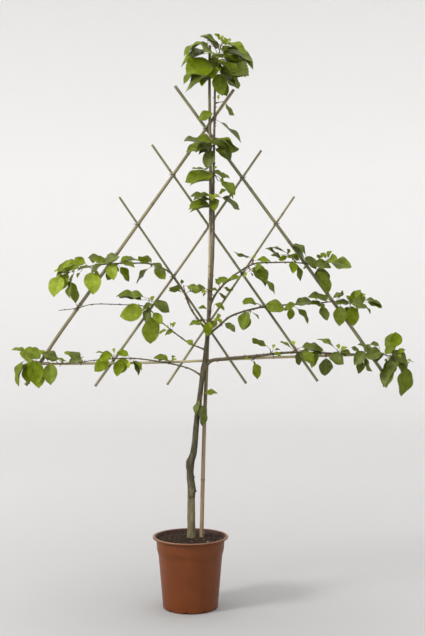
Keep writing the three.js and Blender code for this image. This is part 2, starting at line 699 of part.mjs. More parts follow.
// The sprays of leaves: the limb, the place along it in millimetres or its tip, the twig's
// direction, length and seed, and its fans of leaves.
const SPRAYS = {
  trunk_foot: ["trunk", 715, { heading: -82, length: 24, seed: 11 },
    [[1, 3, 3, 42, 0.5], [1, 248, 248, 40, 0.6], [1, 271, 271, 60, 0.6]]],
  leader_fork_left: ["trunk", 950, { heading: 172, length: 14, seed: 12 },
    [[1, 200, 200, 34, 0.6], [1, 158, 158, 24, 0.5]]],
  leader_fork_right: ["trunk", 962, { heading: -50, length: 8, lean: -60, seed: 13 },
    [[1, 262, 262, 44, 0.95], [1, 340, 340, 28, 0.6]]],
  leader_waist: ["trunk", 1052, { heading: 185, length: 8, seed: 14 },
    [[1, 186, 186, 40, 0.8], [1, 350, 350, 27, 0.5]]],
  leader_left_low: ["trunk", 1326, { heading: 115, length: 24, lean: -40, seed: 15 },
    [[1, 192, 192, 60, 0.6], [1, 176, 176, 52, 0.55]]],
  leader_right_low: ["trunk", 1362, { heading: -15, length: 8, lean: -30, seed: 16 },
    [[1, 266, 266, 38, 0.95], [1, 30, 30, 26, 0.6], [1, 330, 330, 64, 0.5]]],
  leader_left_middle: ["trunk", 1428, { heading: 135, length: 16, lean: -50, seed: 17 },
    [[1, 201, 201, 72, 0.85], [1, 185, 185, 46, 0.15]]],
  leader_right_middle: ["trunk", 1440, { heading: -64, length: 22, lean: -20, seed: 18 },
    [[1, 345, 345, 36, 0.7], [1, 312, 312, 56, 0.7]]],
  leader_left_high: ["trunk", 1528, { heading: 190, length: 8, lean: -50, seed: 19 },
    [[1, 262, 262, 58, 0.95], [1, 194, 194, 66, 0.7], [1, 181, 181, 74, 0.5]]],
  leader_right_high: ["trunk", 1538, { heading: 20, length: 6, lean: -20, seed: 20 },
    [[1, 304, 304, 56, 0.95], [1, 327, 327, 58, 0.4]]],
  leader_top: ["trunk", 1600, { heading: 75, length: 26, lean: -10, seed: 21 },
    [[1, 315, 315, 88, 0.12], [1, 202, 202, 48, 0.9]]],
  leader_right_top: ["trunk", 1668, { heading: 10, length: 18, lean: -10, seed: 23 },
    [[1, 85, 85, 16, 0.6], [1, 305, 305, 44, 0.3]]],
  crown: ["trunk", "tip", { heading: 79, length: 124, first: 0.06, seed: 22 },
    [[1, 297, 297, 56, 0.95], [1, 212, 212, 88, 0.45], [1, 318, 318, 66, 0.35],
      [1, 236, 236, 56, 0.7], [1, 328, 328, 66, 0.7], [1, 218, 218, 78, 0.8],
      [1, 338, 338, 82, 0.8], [1, 262, 262, 44, 0.95], [1, 215, 215, 92, 0.9],
      [1, 330, 330, 94, 0.75], [1, 292, 292, 42, 0.8], [1, 199, 199, 92, 0.5],
      [1, 245, 245, 42, 0.95], [1, 326, 326, 84, 0.8], [1, 191, 191, 84, 0.45],
      [1, 338, 338, 90, 0.6], [1, 140, 140, 64, 0.4], [1, 350, 350, 60, 0.5],
      [1, 168, 168, 38, 0.7], [3, 30, 150, 24, 0.7]]],
  shoulder_left: ["bough_upper_left", -12, { heading: 104, length: 46, lean: -25, seed: 31 },
    [[1, 172, 172, 46, 0.12], [1, 183, 183, 39, 0.6], [1, 333, 333, 44, 0.6]]],
  upper_left_inner: ["bough_upper_left", -128, { heading: -110, length: 8, seed: 32 },
    [[1, 153, 153, 40, 0.6], [1, 312, 312, 50, 0.9], [1, 229, 229, 56, 0.4]]],
  upper_left_middle: ["bough_upper_left", -238, { heading: -150, length: 12, seed: 33 },
    [[1, 25, 25, 36, 0.6], [1, 302, 302, 50, 0.7], [1, 240, 240, 42, 0.97],
      [1, 130, 130, 34, 0.9]]],
  upper_left_outer: ["bough_upper_left", -318, { heading: 220, length: 14, seed: 34 },
    [[1, 98, 98, 28, 0.9], [1, 298, 298, 28, 0.6], [1, 279, 279, 64, 0.97]]],
  upper_left_tip: ["bough_upper_left", "tip", { heading: 194, length: 98, first: 0.06, seed: 35 },
    [[1, 158, 158, 42, 0.9], [1, 186, 186, 52, 0.8], [1, 170, 170, 50, 0.5],
      [1, 262, 262, 74, 0.35], [1, 246, 246, 52, 0.9], [1, 188, 188, 26, 0.5],
      [1, 256, 256, 60, 0.97]]],
  middle_left_root: ["bough_middle_left", -60, { heading: 150, length: 10, seed: 41 },
    [[1, 60, 60, 22, 0.6], [1, 205, 205, 24, 0.5]]],
  middle_left_over: ["bough_middle_left", -139, { heading: 88, length: 34, lean: -20, first: 0.8, seed: 42 },
    [[1, 326, 326, 56, 0.8], [1, 183, 183, 84, 0.4]]],
  middle_left_under: ["bough_middle_left", -132, { heading: 190, length: 10, lean: -50, seed: 43 },
    [[1, 304, 304, 42, 0.9], [1, 275, 275, 86, 0.9], [1, 192, 192, 76, 1]]],
  lower_left_root: ["bough_lower_left", -72, { heading: 80, length: 8, seed: 51 },
    [[1, 20, 20, 18, 0.6], [1, 174, 174, 40, 0.6]]],
  lower_left_inner: ["bough_lower_left", -184, { heading: 172, length: 12, lean: -40, seed: 52 },
    [[1, 303, 303, 34, 0.4], [1, 222, 222, 60, 1], [1, 160, 160, 40, 0.7]]],
  lower_left_middle: ["bough_lower_left", -256, { heading: 120, length: 8, lean: -40, seed: 53 },
    [[1, 224, 224, 56, 1], [1, 172, 172, 46, 0.14]]],
  lower_left_tip: ["bough_lower_left", "tip", { heading: 177, length: 170, first: 0.03, seed: 54 },
    [[1, 147, 147, 50, 0.4], [2, 30, 150, 26, 0.5], [1, 120, 120, 28, 0.5], [1, 152, 152, 46, 0.6],
      [1, 260, 260, 52, 0.95], [1, 300, 300, 28, 0.5], [1, 152, 152, 62, 0.85],
      [1, 270, 270, 62, 1], [1, 150, 150, 46, 0.4], [1, 242, 242, 56, 0.35]]],
  lower_right_root: ["bough_lower_right", 206, { heading: -80, length: 8, lean: -30, seed: 61 },
    [[1, 282, 282, 46, 0.9]]],
  lower_right_inner: ["bough_lower_right", 268, { heading: 105, length: 16, seed: 62 },
    [[1, 330, 330, 24, 0.6], [1, 155, 155, 56, 0.4]]],
  lower_right_middle: ["bough_lower_right", 334, { heading: 36, length: 26, lean: -40, seed: 63 },
    [[1, 153, 153, 45, 0.2], [1, 285, 285, 36, 0.8], [1, 318, 318, 46, 0.85],
      [1, 358, 358, 54, 0.6]]],
  lower_right_spur: ["bough_lower_right", 448, { heading: -70, length: 5, lean: -50, seed: 64 },
    [[1, 180, 180, 34, 0.6], [1, 268, 268, 54, 1], [1, 330, 330, 42, 0.8]]],
  lower_right_over: ["bough_lower_right", 490, { heading: 110, length: 10, lean: -30, seed: 67 },
    [[1, 20, 20, 26, 0.6], [1, 153, 153, 62, 0.3]]],
  lower_right_outer: ["bough_lower_right", 560, { heading: -20, length: 20, lean: -50, seed: 65 },
    [[1, 150, 150, 32, 0.6], [1, 258, 258, 42, 0.9], [1, 288, 288, 42, 0.4], [1, 60, 60, 32, 0.8],
      [1, 350, 350, 52, 0.9]]],
  lower_right_tip: ["bough_lower_right", "tip", { heading: -14, length: 112, seed: 66 },
    [[1, 160, 160, 33, 0.5], [1, 262, 262, 44, 0.35], [1, 330, 330, 62, 0.85],
      [1, 256, 256, 72, 0.8], [1, 88, 88, 67, 0.8], [1, 300, 300, 50, 0.8], [1, 130, 130, 36, 0.7],
      [1, 225, 225, 46, 0.9], [1, 345, 345, 24, 0.4], [1, 261, 261, 84, 0.9]]],
  middle_right_root: ["bough_middle_right", 96, { heading: 60, length: 12, seed: 71 },
    [[1, 120, 120, 20, 0.6], [1, 322, 322, 40, 0.7]]],
  middle_right_inner: ["bough_middle_right", 198, { heading: -85, length: 8, seed: 72 },
    [[1, 313, 313, 28, 0.25], [1, 254, 254, 42, 1]]],
  middle_right_fan: ["bough_middle_right", 232, { heading: 80, length: 8, lean: -50, seed: 73 },
    [[1, 347, 347, 60, 0.9], [1, 178, 178, 48, 0.35]]],
  middle_right_spur: ["bough_middle_right", 340, { heading: -60, length: 4, seed: 74 },
    [[1, 262, 262, 32, 1], [1, 306, 306, 52, 0.5]]],
  middle_right_outer: ["bough_middle_right", 420, { heading: -20, length: 6, lean: -50, seed: 75 },
    [[1, 187, 187, 58, 0.45], [1, 112, 112, 24, 0.3], [1, 296, 296, 44, 0.9]]],
  middle_right_tip: ["bough_middle_right", "tip", { heading: 0, length: 118, seed: 76 },
    [[1, 160, 160, 34, 0.5], [1, 50, 50, 34, 0.5], [1, 268, 268, 58, 0.97], [1, 10, 10, 58, 0.97],
      [1, 276, 276, 62, 0.97], [1, 60, 60, 34, 0.6], [1, 310, 310, 38, 0.3],
      [1, 338, 338, 48, 0.6]]],
  upper_right_root: ["bough_upper_right", 94, { heading: 50, length: 12, seed: 81 },
    [[1, 112, 112, 28, 0.6], [1, 345, 345, 28, 0.5], [1, 56, 56, 30, 0.6]]],
  upper_right_inner: ["bough_upper_right", 206, { heading: 80, length: 14, lean: -20, seed: 82 },
    [[1, 312, 312, 34, 0.6], [1, 354, 354, 42, 0.6], [1, 164, 164, 58, 0.16]]],
  upper_right_fan: ["bough_upper_right", 188, { heading: -42, length: 58, lean: -30, first: 0.03, seed: 83 },
    [[1, 322, 322, 58, 0.9], [1, 30, 30, 30, 0.7], [1, 313, 313, 56, 0.45]]],
  upper_right_middle: ["bough_upper_right", 352, { heading: 135, length: 34, lean: -20, seed: 84 },
    [[1, 288, 288, 52, 0.5], [1, 270, 270, 36, 0.9], [1, 200, 200, 28, 0.8],
      [1, 159, 159, 58, 0.14]]],
  upper_right_tip: ["bough_upper_right", "tip", { heading: 0, length: 70, seed: 85 },
    [[1, 138, 138, 64, 0.4], [1, 350, 350, 42, 0.9], [1, 195, 195, 38, 0.9],
      [1, 290, 290, 62, 0.95], [1, 100, 100, 28, 0.5], [1, 5, 5, 42, 0.5], [1, 348, 348, 60, 0.7]]],
};

for (const [name, [limb, place, twig, fans]] of Object.entries(SPRAYS)) {
  const spray = sprayParts(limbs[limb], place, twig, fans);
  const mesh = meshOf(spraySolid(spray), "leaves_" + name, LEAF);
  mesh.userData.leaves = spray.leaves.length;
  root.add(mesh);
}

export default root;
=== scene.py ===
"""The looks of a potted espaliered sweet cherry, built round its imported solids.

Sizes are in millimetres along the frame's axes, and `mesh_object` turns them into the frame's metres:
+X runs to the right along the trained plane, +Y to the back and +Z up.
"""
import math

import bpy
import numpy as np
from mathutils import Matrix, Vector, noise


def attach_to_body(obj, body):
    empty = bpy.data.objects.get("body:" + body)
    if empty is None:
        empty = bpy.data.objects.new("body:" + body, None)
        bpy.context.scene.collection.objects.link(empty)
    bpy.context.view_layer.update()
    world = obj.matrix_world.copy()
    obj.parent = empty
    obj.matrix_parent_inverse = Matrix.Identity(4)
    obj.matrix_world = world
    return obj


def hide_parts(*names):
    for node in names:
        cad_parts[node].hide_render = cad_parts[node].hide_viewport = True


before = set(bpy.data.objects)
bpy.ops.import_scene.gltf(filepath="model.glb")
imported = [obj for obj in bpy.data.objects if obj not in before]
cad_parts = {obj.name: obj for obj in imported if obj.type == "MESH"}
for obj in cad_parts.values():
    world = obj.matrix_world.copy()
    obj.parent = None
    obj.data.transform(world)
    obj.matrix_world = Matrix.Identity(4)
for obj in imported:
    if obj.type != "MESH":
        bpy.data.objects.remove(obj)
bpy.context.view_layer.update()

MM = 0.001
GAP = 0.3

# The photograph's camera: its place in metres, its lens, and the long side of its picture.
CAMERA_PLACE = (0.073, -3.340, 0.958)
CAMERA_LENS = 57
CAMERA_SIDE = 36

# The pot, as in the solids.
POT_HEIGHT = 236
POT_BASE_RADIUS = 91
POT_BODY_RADIUS = 106.5
POT_STEP_HEIGHT = 183
POT_COLLAR_RADIUS = 111.5
POT_LIP_RADIUS = 125.4
POT_WALL = 2.6
POT_FLOOR = 3.2
POT_CORNER = 5
DRAIN_COUNT = 10
DRAIN_WIDTH = 11
DRAIN_HEIGHT = 5
DRAIN_DEPTH = 8
DRAIN_TURN = 0.3
POT_SIDES = 240

SOIL_HEIGHT = 232
SOIL_EDGE_DROP = 5
SOIL_CROWN = [42, 60]
CANE_FOOT = 45

# The trunk and its leader as [across, height, radius], from the soil to the crown.
TRUNK = [
    [3.4, 205, 13.6],
    [2.6, 357, 12.6],
    [4, 394, 13.4],
    [0, 430, 12],
    [-1, 456, 11.8],
    [-0.5, 480, 13.4],
    [8.5, 506, 11.6],
    [13.5, 536, 10.4],
    [22, 631, 9.2],
    [29.7, 687, 8.8],
    [38, 753, 8],
    [46.2, 813, 6.9],
    [53.8, 885, 5.7],
    [62, 958, 5],
    [68.3, 1050, 4.7],
    [75.9, 1215, 4.5],
    [76.2, 1413, 4.1],
    [79.5, 1611, 3.8],
    [81.5, 1745, 3.5],
]

ROOT_FLARE = 2.5
FLARE_HEIGHT = 12
TRUNK_FORWARD = 16
LEADER_FORWARD = 9
COMES_FORWARD = [260, 560]
GOES_BACK = [918, 1017]
# Cut stumps on the trunk as [height, radius, reach, direction in degrees].
STUMPS = [
    [388, 6, 18, -8],
    [430, 5, 17, 10],
]

# The boughs: guides as [across, height], radii at root and tip, and the canes that they are tied to.
BOUGHS = {
    "lower_left": {
        "guides": [[37, 768], [0, 789], [-36, 799.6], [-115, 815.4], [-203, 824.5], [-314, 818],
            [-366, 811]],
        "radii": [2.8, 1.7],
        "ties": [],
        "rests_on": "level",
    },
    "middle_left": {
        "guides": [[50, 853], [-5, 875.5], [-65, 919], [-99, 947.4], [-135, 985.4], [-160, 998],
            [-220, 1002], [-332, 1003], [-374, 991.3], [-439, 983]],
        "radii": [2.6, 1.2],
        "ties": ["rise_middle", "rise_long"],
    },
    "upper_left": {
        "guides": [[57, 912], [4, 984.4], [-24.8, 1049.7], [-55, 1094], [-75, 1114], [-134, 1138],
            [-213, 1139.5], [-277, 1137.8], [-333, 1130.5]],
        "radii": [3.9, 2],
        "ties": ["fall_short", "rise_long"],
    },
    "lower_right": {
        "guides": [[43, 790], [66, 815], [112, 822.4], [218, 832.3], [328, 843.5], [425, 842.2],
            [540, 838.2], [612, 838.5]],
        "radii": [6.6, 2.4],
        "ties": [],
        "rests_on": "level",
    },
    "middle_right": {
        "guides": [[56, 901], [94, 931], [132, 963], [227, 992.3], [314, 1001.6], [402, 1005.5],
            [455, 1011]],
        "radii": [4.2, 2.2],
        "ties": ["fall_middle"],
    },
    "upper_right": {
        "guides": [[66, 1007], [92, 1048.7], [137, 1094.3], [184, 1126.6], [218, 1139.8], [271, 1142.8],
            [333, 1143.5], [388, 1139.4]],
        "radii": [3.9, 2.1],
        "ties": ["fall_middle", "fall_long"],
    },
}

# The canes: guides as [across, height] from the thick end, radii at both ends, the spacing of their
# joints, and the canes that each one lies behind.
CANES = {
    "upright": {
        "guides": [[33, CANE_FOOT], [36.6, 232], [45.5, 588], [54.5, 819], [62, 1050], [66.7, 1347],
            [63, 1710], [63.7, 1862]],
        "radii": [7.4, 4.6],
        "joints": 236,
        "behind": [],
    },
    "level": {
        "guides": [[-514, 804.5], [-68.5, 811], [243.6, 825.6], [644, 838.6]],
        "radii": [4.1, 4.7],
        "joints": 172,
        "behind": ["upright"],
    },
    "rise_long": {
        "guides": [[-550.6, 733.7], [-446, 893], [-226, 1199], [143.8, 1717.7]],
        "radii": [6.2, 5.2],
        "joints": 205,
        "behind": ["level", "upright"],
    },
    "fall_long": {
        "guides": [[658.9, 752.1], [543.6, 918], [-52.1, 1732.4]],
        "radii": [5.9, 5.2],
        "joints": 218,
        "behind": ["level", "rise_long"],
    },
    "fall_middle": {
        "guides": [[423.6, 747.1], [-129.1, 1536.3]],
        "radii": [4.7, 4],
        "joints": 187,
        "behind": ["level", "rise_long"],
    },
    "fall_short": {
        "guides": [[185.5, 739.5], [-238.5, 1362.1]],
        "radii": [4.3, 3.7],
        "joints": 160,
        "behind": ["level", "rise_long"],
    },
    "rise_middle": {
        "guides": [[-318.6, 730.7], [3.5, 1182], [236.3, 1519.2]],
        "radii": [4.7, 4],
        "joints": 176,
        "behind": ["level", "fall_short", "fall_middle", "fall_long"],
    },
    "rise_short": {
        "guides": [[-79, 734.8], [346.9, 1364.6]],
        "radii": [4.1, 3.5],
        "joints": 150,
        "behind": ["fall_short", "fall_middle", "fall_long"],
    },
}

JOINT_SWELL = 0.09
JOINT_LENGTH = 7
FIRST_JOINT = 0.6
BOUGH_TAPER = 0.7
REST_SHARE = 0.35
# How near to a tie a guide is left out, as a share of the way between guides.
TIE_REACH = 0.3

# Leaves as shares of their length, their stalks and twigs, and how far the rule's draws spread.
LEAF_HALF_WIDTH = 0.365
LEAF_WIDEST = 0.92
LEAF_FULLNESS = 0.72
LEAF_SAG = 0.13
LEAF_FOLD = 0.22
STALK_SHARE = 0.15
STALK_LENGTH = 8
STALK_RISE = 0.35
STALK_RADIUS = 1
TWIG_RADIUS = 1.7
TWIG_BEND = 0.45
AIM_SPREAD = 8
DEPTH_SPREAD = 26
DEPTH_LIMIT = 72
SIZE_CHANGE = 0.1
USUAL_ROLL = 0.85
CLEAR_OF_LIMBS = 1.4
CLEAR_OF_LEAVES = 6
NEAR_LEAVES = 1.5
TIP_LEAN = -6
SIDE_LEAN = -35
TIP_FIRST = 0.12
SIDE_FIRST = 0.4
STALK_BEND = 0.6
STALK_SAMPLES = [0.45, 0.75]
LEAST_FLAT = 0.75
ROOT_SHARE = 0.3
LIMB_POINTS = 60
SAMPLE_ROWS = 8
SAMPLE_COLUMNS = 3
DEPTH_TRIES = [0, -16, 16, -32, 32, -48, 48, -64, 64]

# The sprays of leaves by the limb that they grow on: the place along it or its tip, the twig's
# direction, length and seed, where it leans or its first leaf sits if that isn't usual, and its
# leaves as [direction, length, how it faces].
SPRAYS = {
    "trunk": {
        "trunk_foot": [715, -82, 24, 11, {}, [[3, 42, 0.5], [248, 40, 0.6], [271, 60, 0.6]]],
        "leader_fork_left": [950, 172, 14, 12, {}, [[200, 34, 0.6], [158, 24, 0.5]]],
        "leader_fork_right": [962, -50, 8, 13, {"lean": -60}, [[262, 44, 0.95], [340, 28, 0.6]]],
        "leader_waist": [1052, 185, 8, 14, {}, [[186, 40, 0.8], [350, 27, 0.5]]],
        "leader_left_low": [1326, 115, 24, 15, {"lean": -40}, [[192, 60, 0.6], [176, 52, 0.55]]],
        "leader_right_low": [1362, -15, 8, 16, {"lean": -30}, [[266, 38, 0.95], [30, 26, 0.6],
            [330, 64, 0.5]]],
        "leader_left_middle": [1428, 135, 16, 17, {"lean": -50}, [[201, 72, 0.85], [185, 46, 0.15]]],
        "leader_right_middle": [1440, -64, 22, 18, {"lean": -20}, [[345, 36, 0.7], [312, 56, 0.7]]],
        "leader_left_high": [1528, 190, 8, 19, {"lean": -50}, [[262, 58, 0.95], [194, 66, 0.7],
            [181, 74, 0.5]]],
        "leader_right_high": [1538, 20, 6, 20, {"lean": -20}, [[304, 56, 0.95], [327, 58, 0.4]]],
        "leader_top": [1600, 75, 26, 21, {"lean": -10}, [[315, 88, 0.12], [202, 48, 0.9]]],
        "leader_right_top": [1668, 10, 18, 23, {"lean": -10}, [[85, 16, 0.6], [305, 44, 0.3]]],
        "crown": ["tip", 79, 124, 22, {"first": 0.06}, [[297, 56, 0.95], [212, 88, 0.45], [318, 66, 0.35],
            [236, 56, 0.7], [328, 66, 0.7], [218, 78, 0.8], [338, 82, 0.8], [262, 44, 0.95],
            [215, 92, 0.9], [330, 94, 0.75], [292, 42, 0.8], [199, 92, 0.5], [245, 42, 0.95],
            [326, 84, 0.8], [191, 84, 0.45], [338, 90, 0.6], [140, 64, 0.4], [350, 60, 0.5],
            [168, 38, 0.7], [30, 24, 0.7], [90, 24, 0.7], [150, 24, 0.7]]],
    },
    "bough_upper_left": {
        "shoulder_left": [-12, 104, 46, 31, {"lean": -25}, [[172, 46, 0.12], [183, 39, 0.6],
            [333, 44, 0.6]]],
        "upper_left_inner": [-128, -110, 8, 32, {}, [[153, 40, 0.6], [312, 50, 0.9], [229, 56, 0.4]]],
        "upper_left_middle": [-238, -150, 12, 33, {}, [[25, 36, 0.6], [302, 50, 0.7], [240, 42, 0.97],
            [130, 34, 0.9]]],
        "upper_left_outer": [-318, 220, 14, 34, {}, [[98, 28, 0.9], [298, 28, 0.6], [279, 64, 0.97]]],
        "upper_left_tip": ["tip", 194, 98, 35, {"first": 0.06}, [[158, 42, 0.9], [186, 52, 0.8],
            [170, 50, 0.5], [262, 74, 0.35], [246, 52, 0.9], [188, 26, 0.5], [256, 60, 0.97]]],
    },
    "bough_middle_left": {
        "middle_left_root": [-60, 150, 10, 41, {}, [[60, 22, 0.6], [205, 24, 0.5]]],
        "middle_left_over": [-139, 88, 34, 42, {"lean": -20, "first": 0.8}, [[326, 56, 0.8],
            [183, 84, 0.4]]],
        "middle_left_under": [-132, 190, 10, 43, {"lean": -50}, [[304, 42, 0.9], [275, 86, 0.9],
            [192, 76, 1]]],
    },
    "bough_lower_left": {
        "lower_left_root": [-72, 80, 8, 51, {}, [[20, 18, 0.6], [174, 40, 0.6]]],
        "lower_left_inner": [-184, 172, 12, 52, {"lean": -40}, [[303, 34, 0.4], [222, 60, 1],
            [160, 40, 0.7]]],
        "lower_left_middle": [-256, 120, 8, 53, {"lean": -40}, [[224, 56, 1], [172, 46, 0.14]]],
        "lower_left_tip": ["tip", 177, 170, 54, {"first": 0.03}, [[147, 50, 0.4], [30, 26, 0.5],
            [150, 26, 0.5], [120, 28, 0.5], [152, 46, 0.6], [260, 52, 0.95], [300, 28, 0.5],
            [152, 62, 0.85], [270, 62, 1], [150, 46, 0.4], [242, 56, 0.35]]],
    },
    "bough_lower_right": {
        "lower_right_root": [206, -80, 8, 61, {"lean": -30}, [[282, 46, 0.9]]],
        "lower_right_inner": [268, 105, 16, 62, {}, [[330, 24, 0.6], [155, 56, 0.4]]],
        "lower_right_middle": [334, 36, 26, 63, {"lean": -40}, [[153, 45, 0.2], [285, 36, 0.8],
            [318, 46, 0.85], [358, 54, 0.6]]],
        "lower_right_spur": [448, -70, 5, 64, {"lean": -50}, [[180, 34, 0.6], [268, 54, 1],
            [330, 42, 0.8]]],
        "lower_right_over": [490, 110, 10, 67, {"lean": -30}, [[20, 26, 0.6], [153, 62, 0.3]]],
        "lower_right_outer": [560, -20, 20, 65, {"lean": -50}, [[150, 32, 0.6], [258, 42, 0.9],
            [288, 42, 0.4], [60, 32, 0.8], [350, 52, 0.9]]],
        "lower_right_tip": ["tip", -14, 112, 66, {}, [[160, 33, 0.5], [262, 44, 0.35], [330, 62, 0.85],
            [256, 72, 0.8], [88, 67, 0.8], [300, 50, 0.8], [130, 36, 0.7], [225, 46, 0.9], [345, 24, 0.4],
            [261, 84, 0.9]]],
    },
    "bough_middle_right": {
        "middle_right_root": [96, 60, 12, 71, {}, [[120, 20, 0.6], [322, 40, 0.7]]],
        "middle_right_inner": [198, -85, 8, 72, {}, [[313, 28, 0.25], [254, 42, 1]]],
        "middle_right_fan": [232, 80, 8, 73, {"lean": -50}, [[347, 60, 0.9], [178, 48, 0.35]]],
        "middle_right_spur": [340, -60, 4, 74, {}, [[262, 32, 1], [306, 52, 0.5]]],
        "middle_right_outer": [420, -20, 6, 75, {"lean": -50}, [[187, 58, 0.45], [112, 24, 0.3],
            [296, 44, 0.9]]],
        "middle_right_tip": ["tip", 0, 118, 76, {}, [[160, 34, 0.5], [50, 34, 0.5], [268, 58, 0.97],
            [10, 58, 0.97], [276, 62, 0.97], [60, 34, 0.6], [310, 38, 0.3], [338, 48, 0.6]]],
    },
    "bough_upper_right": {
        "upper_right_root": [94, 50, 12, 81, {}, [[112, 28, 0.6], [345, 28, 0.5], [56, 30, 0.6]]],
        "upper_right_inner": [206, 80, 14, 82, {"lean": -20}, [[312, 34, 0.6], [354, 42, 0.6],
            [164, 58, 0.16]]],
        "upper_right_fan": [188, -42, 58, 83, {"lean": -30, "first": 0.03}, [[322, 58, 0.9],
            [30, 30, 0.7], [313, 56, 0.45]]],
        "upper_right_middle": [352, 135, 34, 84, {"lean": -20}, [[288, 52, 0.5], [270, 36, 0.9],
            [200, 28, 0.8], [159, 58, 0.14]]],
        "upper_right_tip": ["tip", 0, 70, 85, {}, [[138, 64, 0.4], [350, 42, 0.9], [195, 38, 0.9],
            [290, 62, 0.95], [100, 28, 0.5], [5, 42, 0.5], [348, 60, 0.7]]],
    },
}


WORD = 0xFFFFFFFF


def seeded(seed):
    """A repeatable sequence of numbers from 0 to 1."""
    state = seed
    while True:
        state = (state + 0x6D2B79F5) & WORD
        t = ((state ^ (state >> 15)) * (state | 1)) & WORD
        t ^= (t + (t ^ (t >> 7)) * (t | 61)) & WORD
        yield (t ^ (t >> 14)) / (WORD + 1)


def swing(random, spread):
    """A number on either side of nought, over a spread."""
    return (next(random) - 0.5) * spread


def unit(way):
    return way / np.linalg.norm(way)


def mix(start, end, share):
    return start + (end - start) * share


def smooth_step(x, low, high):
    share = min(1, max(0, (x - low) / (high - low)))
    return share * share * (3 - 2 * share)


class Curve:
    """A route that is read by its share of the length. It runs smoothly through its knots, straight
    between two, or along the bend that three give."""

    STEPS = 200
    NUDGE = 1e-4

    def __init__(self, knots, bend=False):
        self.knots = np.array(knots, float)
        self.bend = bend
        walked = self.raw(np.linspace(0, 1, self.STEPS + 1))
        steps = np.linalg.norm(np.diff(walked, axis=0), axis=1)
        self.walked = np.concatenate([[0], np.cumsum(steps)])
        self.length = self.walked[-1]

    def raw(self, t):
        t = np.reshape(t, (-1, 1))
        knots = self.knots
        if self.bend:
            return (1 - t) ** 2 * knots[0] + 2 * (1 - t) * t * knots[1] + t ** 2 * knots[2]
        if len(knots) == 2:
            return knots[0] + (knots[1] - knots[0]) * t
        ends = np.vstack([2 * knots[0] - knots[1], knots, 2 * knots[-1] - knots[-2]])
        place = t * (len(knots) - 1)
        first = np.minimum(place[:, 0].astype(int), len(knots) - 2)
        w = place - first[:, None]
        a, b, c, d = (ends[first + i] for i in range(4))
        before, here, after = (
            np.sqrt(np.linalg.norm(q - p, axis=1, keepdims=True)) for p, q in ((a, b), (b, c), (c, d)))
        start = ((b - a) / before - (c - a) / (before + here) + (c - b) / here) * here
        end = ((c - b) / here - (d - b) / (here + after) + (d - c) / after) * here
        return (b + start * w + (3 * (c - b) - 2 * start - end) * w ** 2
                + (2 * (b - c) + start + end) * w ** 3)

    def shares(self, u):
        return np.interp(np.asarray(u, float) * self.length, self.walked, np.linspace(0, 1, self.STEPS + 1))

    def at(self, u):
        points = self.raw(self.shares(u))
        return points if np.ndim(u) else points[0]

    def along(self, u):
        t = self.shares(u)
        ways = self.raw(np.minimum(t + self.NUDGE, 1)) - self.raw(np.maximum(t - self.NUDGE, 0))
        ways /= np.linalg.norm(ways, axis=1, keepdims=True)
        return ways if np.ndim(u) else ways[0]


def between(knots, x):
    """The value at x on straight pieces between knots [x, value]."""
    return np.interp(x, [knot[0] for knot in knots], [knot[1] for knot in knots])


HALVINGS = 40
PARALLEL = 1e-9


def crossing(first, second):
    """Where two flat routes cross: the share along each, and the point."""
    for i in range(len(first) - 1):
        for j in range(len(second) - 1):
            (ax, az), (bx, bz) = first[i], second[j]
            ux, uz = first[i + 1][0] - ax, first[i + 1][1] - az
            vx, vz = second[j + 1][0] - bx, second[j + 1][1] - bz
            area = ux * vz - uz * vx
            if abs(area) < PARALLEL:
                continue
            s = ((bx - ax) * vz - (bz - az) * vx) / area
            t = ((bx - ax) * uz - (bz - az) * ux) / area
            if 0 <= s <= 1 and 0 <= t <= 1:
                return (i + s) / (len(first) - 1), (j + t) / (len(second) - 1), [ax + ux * s, az + uz * s]
    return None


class Limb:
    """A trunk, bough or cane: its curve, its radius along it, and the points that leaves keep clear of."""

    def __init__(self, curve, radius_at):
        self.curve = curve
        self.radius_at = radius_at
        shares = np.linspace(0, 1, LIMB_POINTS + 1)
        self.points = curve.at(shares)
        self.radii = self.radii_at(shares)

    def radii_at(self, shares):
        return np.array([self.radius_at(u) for u in shares])


limbs = {}
depth_along = {}


def cane_radius(name, share):
    return mix(*CANES[name]["radii"], share)


def cane_depth(name, share):
    return between(depth_along[name], share)


def grow_cane(name, guides, radii, joints, behind):
    """A cane lies against those in front of it, so its depth at a crossing follows from theirs."""
    knots = []
    for other in behind:
        first, second, _ = crossing(guides, CANES[other]["guides"])
        reach = mix(*radii, first) + cane_radius(other, second)
        knots.append([first, cane_depth(other, second) + reach * (1 + JOINT_SWELL / 3) + GAP])
    knots = sorted(knots) or [[0, 0]]
    depth_along[name] = knots
    shares = {i / (len(guides) - 1) for i in range(len(guides))} | {share for share, _ in knots}
    route = []
    for share in sorted(shares):
        place = share * (len(guides) - 1)
        i = min(int(place), len(guides) - 2)
        x, z = (mix(guides[i][axis], guides[i + 1][axis], place - i) for axis in (0, 1))
        route.append([x, between(knots, share), z])
    curve = Curve(route)
    centres = [(i + FIRST_JOINT) * joints / curve.length for i in range(int(curve.length // joints))]
    swell = JOINT_LENGTH / curve.length

    def radius_at(u):
        near = any(abs(u - at) < swell / 2 for at in centres)
        return mix(*radii, u) * (1 + JOINT_SWELL if near else 1)

    limb = Limb(curve, radius_at)
    limb.joints = centres
    limbs["cane_" + name] = limb


def trunk_depth(height):
    """How far the trunk stands behind the pot's axis at a height."""
    back = smooth_step(height, *GOES_BACK) * (TRUNK_FORWARD - LEADER_FORWARD)
    return back - smooth_step(height, *COMES_FORWARD) * TRUNK_FORWARD


